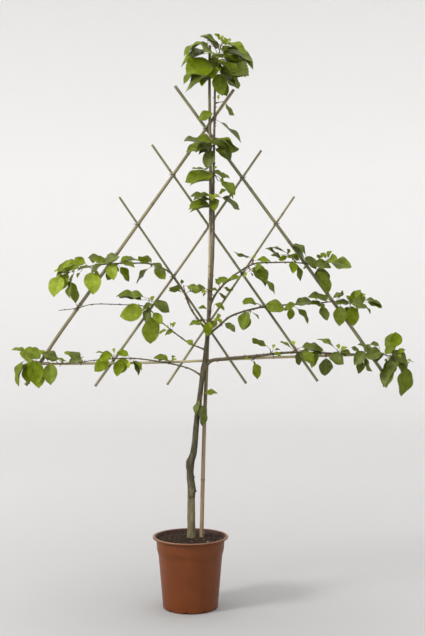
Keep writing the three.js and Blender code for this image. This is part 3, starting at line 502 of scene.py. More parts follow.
def grow_trunk():
    curve = Curve([[x, trunk_depth(z), z] for x, z, _ in TRUNK])
    widths = [[z, radius] for _, z, radius in TRUNK]

    def radius_at(u):
        height = curve.at(u)[2]
        return between(widths, height) + ROOT_FLARE * math.exp(-max(0, height - SOIL_HEIGHT) / FLARE_HEIGHT)

    limbs["trunk"] = Limb(curve, radius_at)


def grow_bough(name, guides, radii, ties, rests_on=None):
    """A bough runs from the trunk's side in front of the canes that it is tied to."""
    knots = [[0, trunk_depth(guides[0][1])]]
    if rests_on:
        reach = radii[0] + max(CANES[rests_on]["radii"]) * (1 + JOINT_SWELL) + GAP
        knots.append([REST_SHARE, depth_along[rests_on][0][1] - reach])
    extra = []
    for cane in ties:
        first, second, point = crossing(guides, CANES[cane]["guides"])
        reach = mix(*radii, first) + cane_radius(cane, second) * (1 + JOINT_SWELL)
        knots.append([first, cane_depth(cane, second) - reach - GAP])
        extra.append((first, point))
    knots.sort()
    apart = TIE_REACH / len(guides)
    stops = [(i / (len(guides) - 1), point) for i, point in enumerate(guides)]
    stops = [stop for stop in stops if all(abs(at - stop[0]) > apart for at, _ in extra)]
    route = [[x, between(knots, share), z] for share, (x, z) in sorted(stops + extra)]
    limbs["bough_" + name] = Limb(Curve(route), lambda u: mix(*radii, u ** BOUGH_TAPER))


def share_at(limb, axis, value):
    """The share along a limb where one coordinate has a value, which the limb passes once."""
    low, high = 0.0, 1.0
    rising = limb.curve.at(1)[axis] > limb.curve.at(0)[axis]
    for _ in range(HALVINGS):
        middle = (low + high) / 2
        if (limb.curve.at(middle)[axis] < value) == rising:
            low = middle
        else:
            high = middle
    return low


def oval(share):
    """The half width of a cherry leaf along it, as a share of its widest."""
    return np.abs(np.sin(math.pi * share ** LEAF_WIDEST)) ** LEAF_FULLNESS


class Leaf:
    """A leaf's stalk, and its blade's base, length, direction, side and upper face."""

    def __init__(self, stalk, base, along, length, face, turn):
        front = unit(np.array([0.0, -1.0, 0.0]) + along * along[1])
        side = np.cross(along, front)
        roll = math.acos(face) * (1 if side[2] >= 0 else -1) * turn
        self.stalk = stalk
        self.base = base
        self.along = along
        self.length = length
        self.upper = front * math.cos(roll) + side * math.sin(roll)
        self.side = np.cross(along, self.upper)

    def samples(self):
        """Points that stand for the leaf and its stalk when clearances are tested."""
        share = (np.arange(SAMPLE_ROWS) + 1) / SAMPLE_ROWS
        out = np.arange(-SAMPLE_COLUMNS, SAMPLE_COLUMNS + 1) / SAMPLE_COLUMNS
        half = self.length * LEAF_HALF_WIDTH * oval(share)
        grid = self.base + self.along * (self.length * share)[:, None]
        grid[:, 2] -= self.length * LEAF_SAG * share ** 2
        wide = half[:, None] * out
        blade = (grid[:, None] + self.side * wide[..., None]
                 + self.upper * (np.abs(wide) * LEAF_FOLD)[..., None])
        return np.vstack([self.stalk.at(STALK_SAMPLES), blade.reshape(-1, 3)])


placed = []


def gap_to_limbs(points):
    starts = np.vstack([limb.points[:-1] for limb in limbs.values()])
    ways = np.vstack([np.diff(limb.points, axis=0) for limb in limbs.values()])
    radii = np.concatenate([limb.radii[:-1] for limb in limbs.values()])
    squares = (ways ** 2).sum(1)
    apart = points[:, None] - starts
    share = np.clip((apart * ways).sum(2) / squares, 0, 1)
    return (np.linalg.norm(apart - share[..., None] * ways, axis=2) - radii).min()


def finds_room(leaf, clear):
    """Whether a leaf keeps clear of limbs and of the leaves before it. If so, it takes its place."""
    points = leaf.samples()
    if gap_to_limbs(points) < clear[0]:
        return False
    near = [theirs for other, theirs in placed
            if np.linalg.norm(other.base - leaf.base) < (other.length + leaf.length) * NEAR_LEAVES]
    if any(np.linalg.norm(points[:, None] - theirs, axis=2).min() < clear[1] for theirs in near):
        return False
    placed.append((leaf, points))
    return True


def leaf_with_room(attach, aim, tilt, grown, face, turn, clear=(CLEAR_OF_LIMBS, CLEAR_OF_LEAVES)):
    """A leaf on a stalk, turned further to the front or the back where it would touch something."""
    for more in DEPTH_TRIES:
        depth = math.radians(min(DEPTH_LIMIT, max(-DEPTH_LIMIT, tilt + more)))
        flat = math.cos(depth)
        length = grown / max(LEAST_FLAT, flat)
        to_tip = np.array([math.cos(aim) * flat, math.sin(depth), math.sin(aim) * flat])
        rise = unit(to_tip + [0, 0, STALK_RISE])
        reach = STALK_LENGTH + length * STALK_SHARE
        base = attach + rise * reach
        stalk = Curve([attach, attach + rise * reach * STALK_BEND, base], bend=True)
        leaf = Leaf(stalk, base, unit(to_tip + [0, 0, LEAF_SAG]), length, face, turn)
        if finds_room(leaf, clear):
            return leaf
    return None


class Spray:
    """A twig from a limb with its leaves."""

    def __init__(self, name, limb_name, place, heading, length, seed, more, wanted):
        limb = limbs[limb_name]
        self.name = name
        self.limb = limb
        self.at_tip = place == "tip"
        random = seeded(seed)
        axis = 2 if limb_name == "trunk" else 0
        self.share = 1.0 if self.at_tip else share_at(limb, axis, place)
        flat = math.radians(heading)
        out = math.radians(more.get("lean", TIP_LEAN if self.at_tip else SIDE_LEAN))
        way = np.array([math.cos(flat) * math.cos(out), math.sin(out), math.sin(flat) * math.cos(out)])
        self.root_way = limb.curve.along(1) if self.at_tip else way
        start = limb.curve.at(self.share) + self.root_way * (GAP if self.at_tip else 0)
        full = length + (0 if self.at_tip else limb.radius_at(ROOT_SHARE))
        self.curve = Curve([start, start + self.root_way * full * TWIG_BEND, start + way * full], bend=True)
        self.radius = min(TWIG_RADIUS, limb.radius_at(1))
        self.leaves = []
        lowest = more.get("first", TIP_FIRST if self.at_tip else SIDE_FIRST)
        shares = np.linspace(lowest, 1, len(wanted)) if len(wanted) > 1 else [1]
        for share, (direction, size, face) in zip(shares, wanted):
            aim = math.radians(direction + swing(random, AIM_SPREAD))
            tilt = swing(random, 2 * DEPTH_SPREAD)
            grown = size * (1 + swing(random, SIZE_CHANGE))
            turn = 1 if next(random) < USUAL_ROLL else -1
            leaf = leaf_with_room(self.curve.at(share), aim, tilt, grown, face, turn)
            if leaf:
                self.leaves.append((share, leaf))


def grow():
    """The whole plant by the solids' rule: canes, trunk, boughs, then sprays."""
    for name, sizes in CANES.items():
        grow_cane(name, **sizes)
    grow_trunk()
    for name, sizes in BOUGHS.items():
        grow_bough(name, **sizes)
    return [Spray(name, limb, *row) for limb, rows in SPRAYS.items() for name, row in rows.items()]

# Shapes, gathered from their parts and then made into pieces.

class Shape:
    """The corners and faces of one piece, with a material's number for each face."""

    def __init__(self):
        self.points = []
        self.faces = []
        self.kinds = []
        self.count = 0

    def add(self, points, faces, kinds=0):
        points = np.reshape(points, (-1, 3))
        self.points.append(points)
        self.faces.extend((np.asarray(faces) + self.count).tolist())
        self.kinds.extend(np.broadcast_to(kinds, len(faces)).tolist())
        self.count += len(points)


def put_in_scene(name, data):
    made = bpy.data.objects.new(name, data)
    bpy.context.scene.collection.objects.link(made)
    return made


def mesh_object(name, shape, materials, smooth=True):
    mesh = bpy.data.meshes.new(name)
    mesh.from_pydata((np.vstack(shape.points) * MM).tolist(), [], shape.faces)
    for material in materials:
        mesh.materials.append(material)
    mesh.polygons.foreach_set("material_index", shape.kinds)
    mesh.polygons.foreach_set("use_smooth", [smooth] * len(shape.faces))
    mesh.update()
    return put_in_scene(name, mesh)


def piece(name, shape, materials, nodes=(), smooth=True):
    """A piece of the plant: it rides on the one body, and stands for the named solids."""
    made = mesh_object(name, shape, materials, smooth)
    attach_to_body(made, "root")
    if nodes:
        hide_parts(*nodes)


def grid_faces(rows, columns, closed=False):
    """Four-cornered faces over a grid of corners, joined round where it is closed."""
    column = np.arange(columns if closed else columns - 1)
    row = np.arange(rows - 1)[:, None] * columns
    a = row + column
    b = row + (column + 1) % columns
    return np.stack([a, b, b + columns, a + columns], axis=-1).reshape(-1, 4)


def turned(profile, sides):
    """Rings of corners round the upright axis through a profile [radius, height], and their turns."""
    turn = np.linspace(0, 2 * math.pi, sides, endpoint=False)
    radius, height = np.array(profile, float).T[..., None]
    return np.stack([radius * np.cos(turn), radius * np.sin(turn), height + 0 * turn], axis=-1), turn


# How nearly a curve may run along the direction that its rings' corners are counted from.
STEEP = 0.9


def skin(curve, shares, radii, sides):
    """Rings of corners round a curve, and the directions in which they stand off it."""
    turn = np.linspace(0, 2 * math.pi, sides, endpoint=False)[:, None]
    side = np.array([0.0, 1.0, 0.0])
    spokes = []
    for way in curve.along(shares):
        if abs(side @ way) > STEEP:
            side = np.array([1.0, 0.0, 0.0])
        side = unit(side - way * (side @ way))
        spokes.append(side * np.cos(turn) + np.cross(way, side) * np.sin(turn))
    spokes = np.array(spokes)
    radii = np.broadcast_to(radii, len(shares))
    return curve.at(shares)[:, None] + spokes * radii[:, None, None], spokes


def add_rings(shape, corners, kind=0, ends=(0, 0)):
    """A closed body over rings of corners, with a face fan at both ends."""
    count, sides = corners.shape[:2]
    shape.add(corners, grid_faces(count, sides, closed=True), kind)
    around = np.arange(sides)
    fan = np.stack([np.full(sides, sides), around, (around + 1) % sides], axis=1)
    for ring, kind_here, order in ((corners[0], ends[0], -1), (corners[-1], ends[1], 1)):
        shape.add(np.vstack([ring, ring.mean(0)]), fan[:, ::order], kind_here)


def add_tube(shape, curve, shares, radii, sides, kind=0):
    add_rings(shape, skin(curve, shares, radii, sides)[0], kind, (kind, kind))


def ripple(points, across, depth=2):
    """Soft noise at points, with features about the given sizes across along each axis."""
    scaled = points.reshape(-1, 3) / np.array(across, float)
    values = [noise.fractal(Vector(p), 1.0, 2.0, depth) for p in scaled]
    return np.reshape(values, points.shape[:-1])


# Materials

def paint(red, green, blue):
    """A colour as it shows on a screen, as the shader's own numbers."""
    shown = np.array([red, green, blue]) / 255
    light = np.where(shown < 0.04045, shown / 12.92, ((shown + 0.055) / 1.055) ** 2.4)
    return (*light.tolist(), 1.0)


def add_node(material, kind, **values):
    """A node of a material's, with the values of its inputs."""
    node = material.node_tree.nodes.new("ShaderNode" + kind)
    for name, value in values.items():
        node.inputs[name.replace("_", " ")].default_value = value
    return node


def add_ramp(material, stops):
    """A node that turns a share into a colour, through stops [share, colour]."""
    node = add_node(material, "ValToRGB")
    made = node.color_ramp.elements
    for i, (at, colour) in enumerate(stops):
        stop = made[i] if i < 2 else made.new(at)
        stop.position = at
        stop.color = paint(*colour)
    return node


def join(material, *pairs):
    """Links from a node's output to another's input, each as [from, output, to, input]."""
    for source, output, target, entry in pairs:
        material.node_tree.links.new(source.outputs[output], target.inputs[entry])


# Where the two tones of a surface stand on the scale of its noise.
TONE_STOPS = [0.32, 0.68]


def surface(name, colours, across, roughness, grain=0.3, bump=0.25, turn=0.0, fine=0.25, gloss=0.4):
    """A matt or satin surface whose colour wanders between two tones, with a fine grain of bumps.

    `across` is the size of the colour's features along x, y and z in millimetres, turned in the
    trained plane by an angle in degrees; `fine` is the grain's size as a share of it.
    """
    material = bpy.data.materials.new(name)
    material.use_nodes = True
    shader = material.node_tree.nodes["Principled BSDF"]
    shader.inputs["Specular IOR Level"].default_value = gloss
    place = add_node(material, "TexCoord")
    spin = add_node(material, "Mapping", Rotation=(0, math.radians(turn), 0))
    scale = add_node(material, "Mapping", Scale=[1 / (size * MM) for size in across])
    wander = add_node(material, "TexNoise", Scale=1, Detail=4)
    tones = add_ramp(material, zip(TONE_STOPS, colours))
    speckle = add_node(material, "TexNoise", Scale=1 / fine, Detail=6)
    rough = add_node(material, "MapRange", To_Min=roughness * (1 - grain),
                     To_Max=min(1, roughness * (1 + grain)))
    relief = add_node(material, "Bump", Strength=bump, Distance=min(across) * fine * MM)
    join(material,
         [place, "Object", spin, "Vector"],
         [spin, "Vector", scale, "Vector"],
         [scale, "Vector", wander, "Vector"],
         [wander, "Fac", tones, "Fac"],
         [tones, "Color", shader, "Base Color"],
         [scale, "Vector", speckle, "Vector"],
         [speckle, "Fac", rough, "Value"],
         [rough, "Result", shader, "Roughness"],
         [speckle, "Fac", relief, "Height"],
         [relief, "Normal", shader, "Normal"])
    return material


# The pot and its compost

def arc(centre, radius, first, last, steps):
    """Points on part of a circle in a profile, between two directions in degrees."""
    turns = np.radians(np.linspace(first, last, steps + 1))
    return [[centre[0] + radius * math.cos(t), centre[1] + radius * math.sin(t)] for t in turns]


# The lip's outer edge, its rounding, the slope between body and collar, the raised underside, and
# the lip's own underside, hollows and small steps.
LIP_EDGE = 5.5
LIP_ROUND = 3.2
STEP_REACH = 17
STEP_ROWS = 8
BODY_ROWS = 24
UNDERSIDE_RISE = 1.6
UNDERSIDE_RING = 24
UNDERSIDE_SLOPE = 3
LIP_UNDER = 6
LIP_FILLET = 2
LIP_STEP = 0.8
# How far a notch's inner side leans.
NOTCH_SIDE = 0.2


def pot_profile():
    """The pot's outline as [radius, height], from the middle underneath, over the lip to its floor,
    in three runs: the outside, the lip's edge with its painted highlight, and the inside with its painted
    shade."""
    top = POT_HEIGHT
    collar = POT_COLLAR_RADIUS
    foot = POT_BASE_RADIUS
    lip = POT_LIP_RADIUS
    low = POT_STEP_HEIGHT - STEP_REACH
    body_top = mix(foot, POT_BODY_RADIUS, low / POT_STEP_HEIGHT)
    body = [[mix(foot, body_top, i / BODY_ROWS), mix(POT_CORNER, low, i / BODY_ROWS)]
            for i in range(1, BODY_ROWS + 1)]
    step = [[mix(body_top, collar, smooth_step(i, 0, STEP_ROWS)), low + 2 * STEP_REACH * i / STEP_ROWS]
            for i in range(1, STEP_ROWS + 1)]
    outside = [
        [0, UNDERSIDE_RISE],
        [foot - UNDERSIDE_RING, UNDERSIDE_RISE],
        [foot - UNDERSIDE_RING + UNDERSIDE_SLOPE, 0],
        [foot - DRAIN_DEPTH - NOTCH_SIDE, 0],
        [foot - DRAIN_DEPTH, 0],
        *arc([foot - POT_CORNER, POT_CORNER], POT_CORNER, -90, 0, 6),
        *body,
        *step,
        [collar + LIP_FILLET, top - LIP_UNDER - 0.5],
        *arc([collar + 2 * LIP_FILLET, top - LIP_UNDER], LIP_FILLET, 180, 90, 4),
        [lip - POT_WALL, top - POT_WALL - 1.2],
        [lip - POT_WALL + LIP_STEP, top - LIP_EDGE],
        [lip - LIP_STEP, top - LIP_EDGE],
        [lip, top - LIP_ROUND],
    ]
    edge = [
        *arc([lip - LIP_ROUND, top - LIP_ROUND], LIP_ROUND, 15, 90, 5),
        [lip - 5, top - 0.2],
    ]
    inside = [
        [collar + POT_WALL + 3, top - LIP_STEP],
        *arc([collar + POT_WALL + LIP_FILLET, top - LIP_FILLET - LIP_STEP], LIP_FILLET, 90, 170, 4),
        [collar - POT_WALL + 1.6, top - 8],
        [collar - POT_WALL, POT_STEP_HEIGHT + 4],
        [POT_BODY_RADIUS - POT_WALL, POT_STEP_HEIGHT],
        [foot - POT_WALL, POT_FLOOR + POT_CORNER],
        [0, POT_FLOOR],
    ]
    return outside, edge, inside


def make_pot():
    runs = pot_profile()
    corners, turn = turned(np.vstack(runs), POT_SIDES)
    step = 2 * math.pi / DRAIN_COUNT
    from_drain = (turn - DRAIN_TURN * step + step / 2) % step - step / 2
    in_drain = np.abs(from_drain) * POT_BASE_RADIUS < DRAIN_WIDTH / 2
    outer = np.vstack(runs)[:, 0] > POT_BASE_RADIUS - DRAIN_DEPTH - NOTCH_SIDE / 2
    cut = outer[:, None] & (corners[..., 2] < DRAIN_HEIGHT) & in_drain
    corners[cut, 2] = DRAIN_HEIGHT
    # Each run takes its material: the plastic, the lip edge's painted highlight, or the inside's painted
    # shade.
    kinds = np.repeat([0, 1, 2], [len(run) for run in runs])[:-1, None] + np.zeros(POT_SIDES, int)
    # The drain notches take the inside's dark colour, as painted shade in the recesses.
    kinds[cut[:-1]] = 2
    shape = Shape()
    shape.add(corners, grid_faces(len(corners), POT_SIDES, closed=True), kinds.ravel())
    plastic = surface("terracotta_plastic", [(97, 46, 9), (107, 53, 13)], (60, 60, 40), 0.42,
                      grain=0.25, bump=0.12, fine=0.03, gloss=0.3)
    # The lip edge's paler colour is a painted highlight.
    edge = surface("terracotta_edge", [(112, 70, 42), (128, 88, 60)], (30, 30, 30), 0.5, bump=0.2)
    # The inside's dark colour is painted shade on the inner wall and floor.
    inside = surface("terracotta_inside", [(50, 26, 14), (66, 36, 22)], (20, 20, 20), 0.7, bump=0.3)
    piece("pot_shell", shape, [plastic, edge, inside], ["pot"])


# The compost: how far it presses into the wall, its skirt inside the pot, its lumps and its crumbs.
SOIL_ROWS = 46
SOIL_SIDES = 120
SOIL_PRESS = 0.9
SKIRT_SHARE = 0.985
SKIRT_HEIGHT = POT_STEP_HEIGHT + 6
LUMP_HEIGHT = 1.6
LUMP_ACROSS = (9, 9, 9)
LUMP_SINK = 0.4
CRUMB_SEED = 7
CRUMB_COUNT = 950
CRUMB_SIZES = [0.8, 3]
CRUMB_PROUD = 0.2
CRUMB_EDGE = 3
# A crumb's corners and faces before it is knocked out of true, and how far its sizes vary.
CRUMB_CORNERS = np.array([[1, 0, 0], [0, 1, 0], [-1, 0, 0], [0, -1, 0], [0, 0, 1], [0, 0, -1]], float)
CRUMB_FACES = [[0, 1, 4], [1, 2, 4], [2, 3, 4], [3, 0, 4], [1, 0, 5], [2, 1, 5], [3, 2, 5], [0, 3, 5]]
CRUMB_SPREADS = [[0.6, 1.6], [0.6, 1.2], [0.5, 0.9]]
# Every how many crumbs one is a fibre, and every how many a pale bit of grit.
FIBRE_EVERY = 4
GRIT_EVERY = 60


def soil_height(x, y):
    """The compost's level over a place, without its lumps."""
    return np.interp(np.hypot(x, y), [*SOIL_CROWN, POT_COLLAR_RADIUS - POT_WALL],
                     [SOIL_HEIGHT, SOIL_HEIGHT - 1, SOIL_HEIGHT - SOIL_EDGE_DROP])


def add_crumb(shape, at, size, kind, random):
    """An eight-sided pebble knocked out of true."""
    spin = next(random) * math.pi
    wide = CRUMB_CORNERS * [mix(*spread, next(random)) for spread in CRUMB_SPREADS]
    x = wide[:, 0] * math.cos(spin) - wide[:, 1] * math.sin(spin)
    y = wide[:, 0] * math.sin(spin) + wide[:, 1] * math.cos(spin)
    shape.add(np.array(at) + np.stack([x, y, wide[:, 2]], axis=1) * size, CRUMB_FACES, kind)


def make_compost():
    edge = POT_COLLAR_RADIUS - POT_WALL + SOIL_PRESS
    top, _ = turned([[radius, 0] for radius in np.linspace(edge, 2, SOIL_ROWS)], SOIL_SIDES)
    lumps = LUMP_HEIGHT * ripple(top, LUMP_ACROSS, 3)
    top[..., 2] = soil_height(top[..., 0], top[..., 1]) + lumps - LUMP_SINK
    skirt = top[:1] * [SKIRT_SHARE, SKIRT_SHARE, 0] + [0, 0, SKIRT_HEIGHT]
    shape = Shape()
    add_rings(shape, np.concatenate([skirt, top]))
    random = seeded(CRUMB_SEED)
    for i in range(CRUMB_COUNT):
        far = (edge - CRUMB_EDGE) * math.sqrt(next(random))
        way = next(random) * 2 * math.pi
        at = [far * math.cos(way), far * math.sin(way)]
        size = mix(*CRUMB_SIZES, next(random) ** 3)
        kind = 2 if i % GRIT_EVERY == 0 else 1 if i % FIBRE_EVERY == 0 else 0
        add_crumb(shape, [*at, soil_height(*at) + size * CRUMB_PROUD], size, kind, random)
    peat = surface("peat", [(30, 21, 13), (52, 38, 26)], (7, 7, 7), 0.95, bump=0.8, fine=0.3, gloss=0.15)
    fibre = surface("bark_fibre", [(56, 38, 22), (88, 62, 38)], (4, 4, 4), 0.9, bump=0.6, gloss=0.15)
    grit = surface("pale_grit", [(150, 140, 122), (188, 180, 164)], (3, 3, 3), 0.8, bump=0.4, gloss=0.2)
    piece("compost_surface", shape, [peat, fibre, grit], ["soil"], smooth=False)


# Canes

# The outline of a joint, as [millimetres along from its middle, share of the cane's radius].
JOINT_SHAPE = [[-9, 1], [-5, 1.015], [-3, 1.05], [-1.6, 1.1], [-0.7, 1.06], [0, 0.98], [0.7, 1.07],
               [1.8, 1.08], [3.4, 1.03], [7, 1]]
CANE_SIDES = 18
CANE_ROW = 8
CANE_WAIST = 0.02
HOLLOW = 0.55
HOLLOW_DEPTH = 7
SCAR_HALF = 1.2
SCAR_PLACE = -0.4
# The heights where the upright cane goes from tan to weathered olive, to cream and to olive again,
# and how far the border between them wanders.
CANE_TURNS = [648, 1097, 1255]
CANE_STREAKS = 70
CANE_STREAK_SIZE = (3, 3, 45)
# The materials of a cane by number; the hollow at each end is darkened with painted shade.
OWN, CUT, HOLLOW_SHADE, WEATHERED, SCAR, CREAM = range(6)


def make_cane(name, materials):
    limb = limbs["cane_" + name]
    curve = limb.curve
    plain = np.linspace(0, 1, int(curve.length / CANE_ROW))
    near_joint = np.abs(plain[:, None] - limb.joints) <= -JOINT_SHAPE[0][0] / curve.length
    shares = [plain[~near_joint.any(axis=1)]]
    steps = np.array([step for step, _ in JOINT_SHAPE]) / curve.length
    shares += [at + steps for at in limb.joints]
    shares = np.unique(np.clip(np.concatenate(shares), 0, 1))
    edges = np.array([0, *limb.joints, 1])
    part = np.interp(shares, edges, np.arange(len(edges))) % 1
    radius = cane_radius(name, shares) * (1 - CANE_WAIST * np.sin(math.pi * part) ** 2)
    for at in limb.joints:
        radius = radius * between(JOINT_SHAPE, (shares - at) * curve.length)
    corners, spokes = skin(curve, shares, radius, CANE_SIDES)
    ends = [0, -1]
    rims = curve.at(shares[ends])[:, None] + spokes[ends] * radius[ends][:, None, None] * HOLLOW
    inner = rims + np.stack([curve.along(0), -curve.along(1)])[:, None] * HOLLOW_DEPTH
    corners = np.concatenate([inner[:1], rims[:1], corners, rims[1:], inner[1:]])
    kinds = np.full((len(corners) - 1, CANE_SIDES), OWN)
    if name == "upright":
        heights = corners[1:, :, 2] + CANE_STREAKS * ripple(corners[1:], CANE_STREAK_SIZE, 3)
        kinds = np.array([OWN, WEATHERED, CREAM, WEATHERED])[np.searchsorted(CANE_TURNS, heights)]
    middles = (shares[1:] + shares[:-1]) / 2
    past_joint = (middles[:, None] - limb.joints) * curve.length - SCAR_PLACE
    kinds[2:-2][np.any(np.abs(past_joint) < SCAR_HALF, axis=1)] = SCAR
    # The hollow's wall at each end takes the painted shade.
    kinds[[0, -1]] = HOLLOW_SHADE
    kinds[[1, -2]] = CUT
    shape = Shape()
    add_rings(shape, corners, kinds.ravel(), (HOLLOW_SHADE, HOLLOW_SHADE))
    piece("bamboo_" + name, shape, materials, ["cane_" + name])


def make_canes():
    cut = surface("cane_cut", [(150, 134, 98), (180, 166, 128)], (3, 3, 3), 0.8, bump=0.4)
    # A dark colour painted in the cane's hollow ends as shade.
    hollow_shade = surface("cane_hollow", [(40, 32, 22), (64, 52, 36)], (5, 5, 5), 0.9, bump=0.3)
    scar = surface("cane_scar", [(62, 50, 36), (92, 76, 54)], (3, 3, 3), 0.8, bump=0.3)
    tones = {
        "upright": ("cane_tan", [(118, 98, 72), (148, 126, 98)], 0),
        "weathered": ("cane_weathered", [(78, 74, 46), (118, 110, 76)], 0),
        "cream": ("cane_cream", [(138, 126, 102), (174, 160, 132)], 0),
        "level": ("cane_dull", [(144, 134, 98), (178, 166, 128)], 90),
        "rise": ("cane_olive", [(90, 84, 56), (142, 132, 96)], -35),
        "fall": ("cane_green", [(76, 75, 48), (122, 117, 82)], 35),
    }
    skins = {family: surface(title, colours, (4, 4, 70), 0.5, bump=0.25, turn=turn, fine=0.2, gloss=0.45)
             for family, (title, colours, turn) in tones.items()}
    for name in CANES:
        own = skins[name.split("_")[0]]
        make_cane(name, [own, cut, hollow_shade, skins["weathered"], scar, skins["cream"]])


# Bark

TRUNK_SIDES = 44
TRUNK_ROWS = [260, 190]
TRUNK_SPLIT = 0.4
TRUNK_SUNK = 8
BOUGH_SIDES = 20
BOUGH_ROW = 3
COLLAR_SWELL = 0.55
COLLAR_LENGTH = 9
UNDER_BUD = 0.45
UNDER_BUD_LENGTH = 2.6
# Swellings of the trunk as [height, how much in millimetres, how far along].
TRUNK_KNOBS = [[388, 0.9, 7], [430, 0.8, 6], [466, 1.2, 9], [482, 0.9, 6], [768, 1.6, 12], [790, 2, 14],
               [853, 0.8, 9], [901, 1, 9], [912, 0.9, 9], [1007, 1.1, 9]]
# A stump's radius along it, as [share of its length, share of its own radius].
STUMP_SHAPE = [[0, 1.7], [0.4, 1.1], [0.6, 0.7], [0.8, 0.5], [1, 0.2]]
STUMP_ROWS = 14
STUMP_SIDES = 20
STUMP_FORWARD = 0.25
STUMP_RELIEF = 0.9
STUMP_GRAIN = (4, 4, 4)
# The heights where the trunk's bark goes from pale and ringed to dark, and from dark to brown, and
# how far the border between them wanders.
BARK_TURNS = [385, 1000]
BARK_STREAKS = 75
BARK_STREAK_SIZE = (9, 9, 22)
# The bark's plates, wrinkles and rings, as [how much on young bark, how much more on the oldest, how
# large, how fine].
BARK_RELIEF = [[0.12, 0.5, (8, 8, 20), 2], [0.07, 0.2, (3, 3, 2.2), 2], [0.05, 0.12, (14, 14, 1.6), 1]]
# The height where the trunk's bark is smooth, and how far below it is the oldest.
SMOOTH_FROM = 1000
OLD_BELOW = 600
# The materials of the trunk by number.
PALE_BARK, CUT_WOOD, DARK_BARK, BROWN_BARK = range(4)


def bark_lift(points, old=0.0):
    """How far the bark stands out from a limb's own radius."""
    return sum((young + more * old) * ripple(points, across, fine)
               for young, more, across, fine in BARK_RELIEF)


def make_trunk(materials):
    limb = limbs["trunk"]
    curve = limb.curve
    first = (SOIL_HEIGHT - TRUNK_SUNK - TRUNK[0][1]) / curve.length
    shares = np.concatenate([np.linspace(first, TRUNK_SPLIT, TRUNK_ROWS[0], endpoint=False),
                             np.linspace(TRUNK_SPLIT, 1, TRUNK_ROWS[1])])
    heights = curve.at(shares)[:, 2]
    radius = limb.radii_at(shares)
    for height, more, reach in TRUNK_KNOBS:
        radius = radius + more * np.exp(-((heights - height) / reach) ** 2)
    corners, spokes = skin(curve, shares, radius, TRUNK_SIDES)
    old = np.clip((SMOOTH_FROM - heights) / OLD_BELOW, 0, 1)[:, None]
    corners = corners + spokes * bark_lift(corners, old)[..., None]
    edges = heights[:-1, None] + BARK_STREAKS * ripple(corners[:-1], BARK_STREAK_SIZE, 2)
    kinds = np.array([PALE_BARK, DARK_BARK, BROWN_BARK])[np.searchsorted(BARK_TURNS, edges)]
    shape = Shape()
    add_rings(shape, corners, kinds.ravel(), (PALE_BARK, CUT_WOOD))
    for height, size, reach, direction in STUMPS:
        root = curve.at(share_at(limb, 2, height))
        turn = math.radians(direction)
        way = unit(np.array([math.cos(turn), -STUMP_FORWARD, math.sin(turn)]))
        along = np.linspace(0, 1, STUMP_ROWS)
        stub = Curve([root, root + way * reach * 0.5, root + way * reach])
        knob, around = skin(stub, along, size * between(STUMP_SHAPE, along), STUMP_SIDES)
        knob = knob + around * (STUMP_RELIEF * ripple(knob, STUMP_GRAIN))[..., None]
        add_rings(shape, knob, CUT_WOOD, (CUT_WOOD, CUT_WOOD))
    piece("trunk_bark", shape, materials, ["trunk"])


def make_bough(name, materials):
    """A bough's bark, with a collar where it leaves the trunk and a swelling under each bud."""
    limb = limbs["bough_" + name]
    trunk = limbs["trunk"]
    curve = limb.curve
    shares = np.linspace(0, 1, int(curve.length / BOUGH_ROW))
    out = shares * curve.length
    inside = trunk.radius_at(share_at(trunk, 2, curve.at(0)[2]))
    collar = np.exp(-(np.maximum(0, out - inside) / COLLAR_LENGTH) ** 1.5)
    radius = limb.radii_at(shares) * (1 + COLLAR_SWELL * collar)
    corners, spokes = skin(curve, shares, radius, BOUGH_SIDES)
    lift = bark_lift(corners)
    for at in bud_places(limb):
        lift = lift + UNDER_BUD * np.exp(-((out - at * curve.length) / UNDER_BUD_LENGTH) ** 2)[:, None]
    shape = Shape()
    add_rings(shape, corners + spokes * lift[..., None])
    piece("bark_" + name, shape, materials, ["bough_" + name])


BUD_SEED = 401
BUD_SPACING = 31
BUD_LENGTH = 4.6
BUD_RADIUS = 1.35
BUD_SUNK = 0.3
BUD_LEAN = 0.9
BUD_SIDES = 7
BUD_SIZES = [0.8, 1.2]
BUD_SWING = 70
FIRST_BUD = 26
LEADER_BUDS_FROM = 0.52
BUDS_END = 0.985
# A bud in overlapping scales, as [share of its length, share of its radius].
BUD_SHAPE = [[0, 0.7], [0.15, 0.95], [0.35, 1], [0.36, 0.93], [0.6, 0.82], [0.61, 0.74], [0.85, 0.4],
             [1, 0.08]]


def bud_places(limb):
    """The shares along a bough or the leader where buds sit."""
    start = LEADER_BUDS_FROM if limb is limbs["trunk"] else FIRST_BUD / limb.curve.length
    return np.arange(start, BUDS_END, BUD_SPACING / limb.curve.length)


def add_bud(shape, root, way, size=1.0):
    along, radii = np.array(BUD_SHAPE).T
    core = Curve([root, root + way * BUD_LENGTH * size])
    add_tube(shape, core, along, radii * BUD_RADIUS * size, BUD_SIDES)


def side_way(limb, share, turn):
    """A direction square to a limb, turned by an angle from straight up in the trained plane."""
    along = limb.curve.along(share)
    up = unit(np.cross(along, [0, 1, 0])) * (1 if along[0] > 0 or limb is limbs["trunk"] else -1)
    front = np.cross(along, up)
    return unit(up * math.cos(turn) + front * math.sin(turn))


def make_buds():
    """Buds by turns on either side of the boughs and the leader."""
    shape = Shape()
    random = seeded(BUD_SEED)
    for name, limb in limbs.items():
        if name.startswith("cane_"):
            continue
        for i, share in enumerate(bud_places(limb)):
            way = side_way(limb, share, math.radians(180 * (i % 2) + swing(random, BUD_SWING)))
            root = limb.curve.at(share) + way * (limb.radius_at(share) - BUD_SUNK)
            lean = unit(way + limb.curve.along(share) * BUD_LEAN)
            add_bud(shape, root, lean, mix(*BUD_SIZES, next(random)))
    return shape


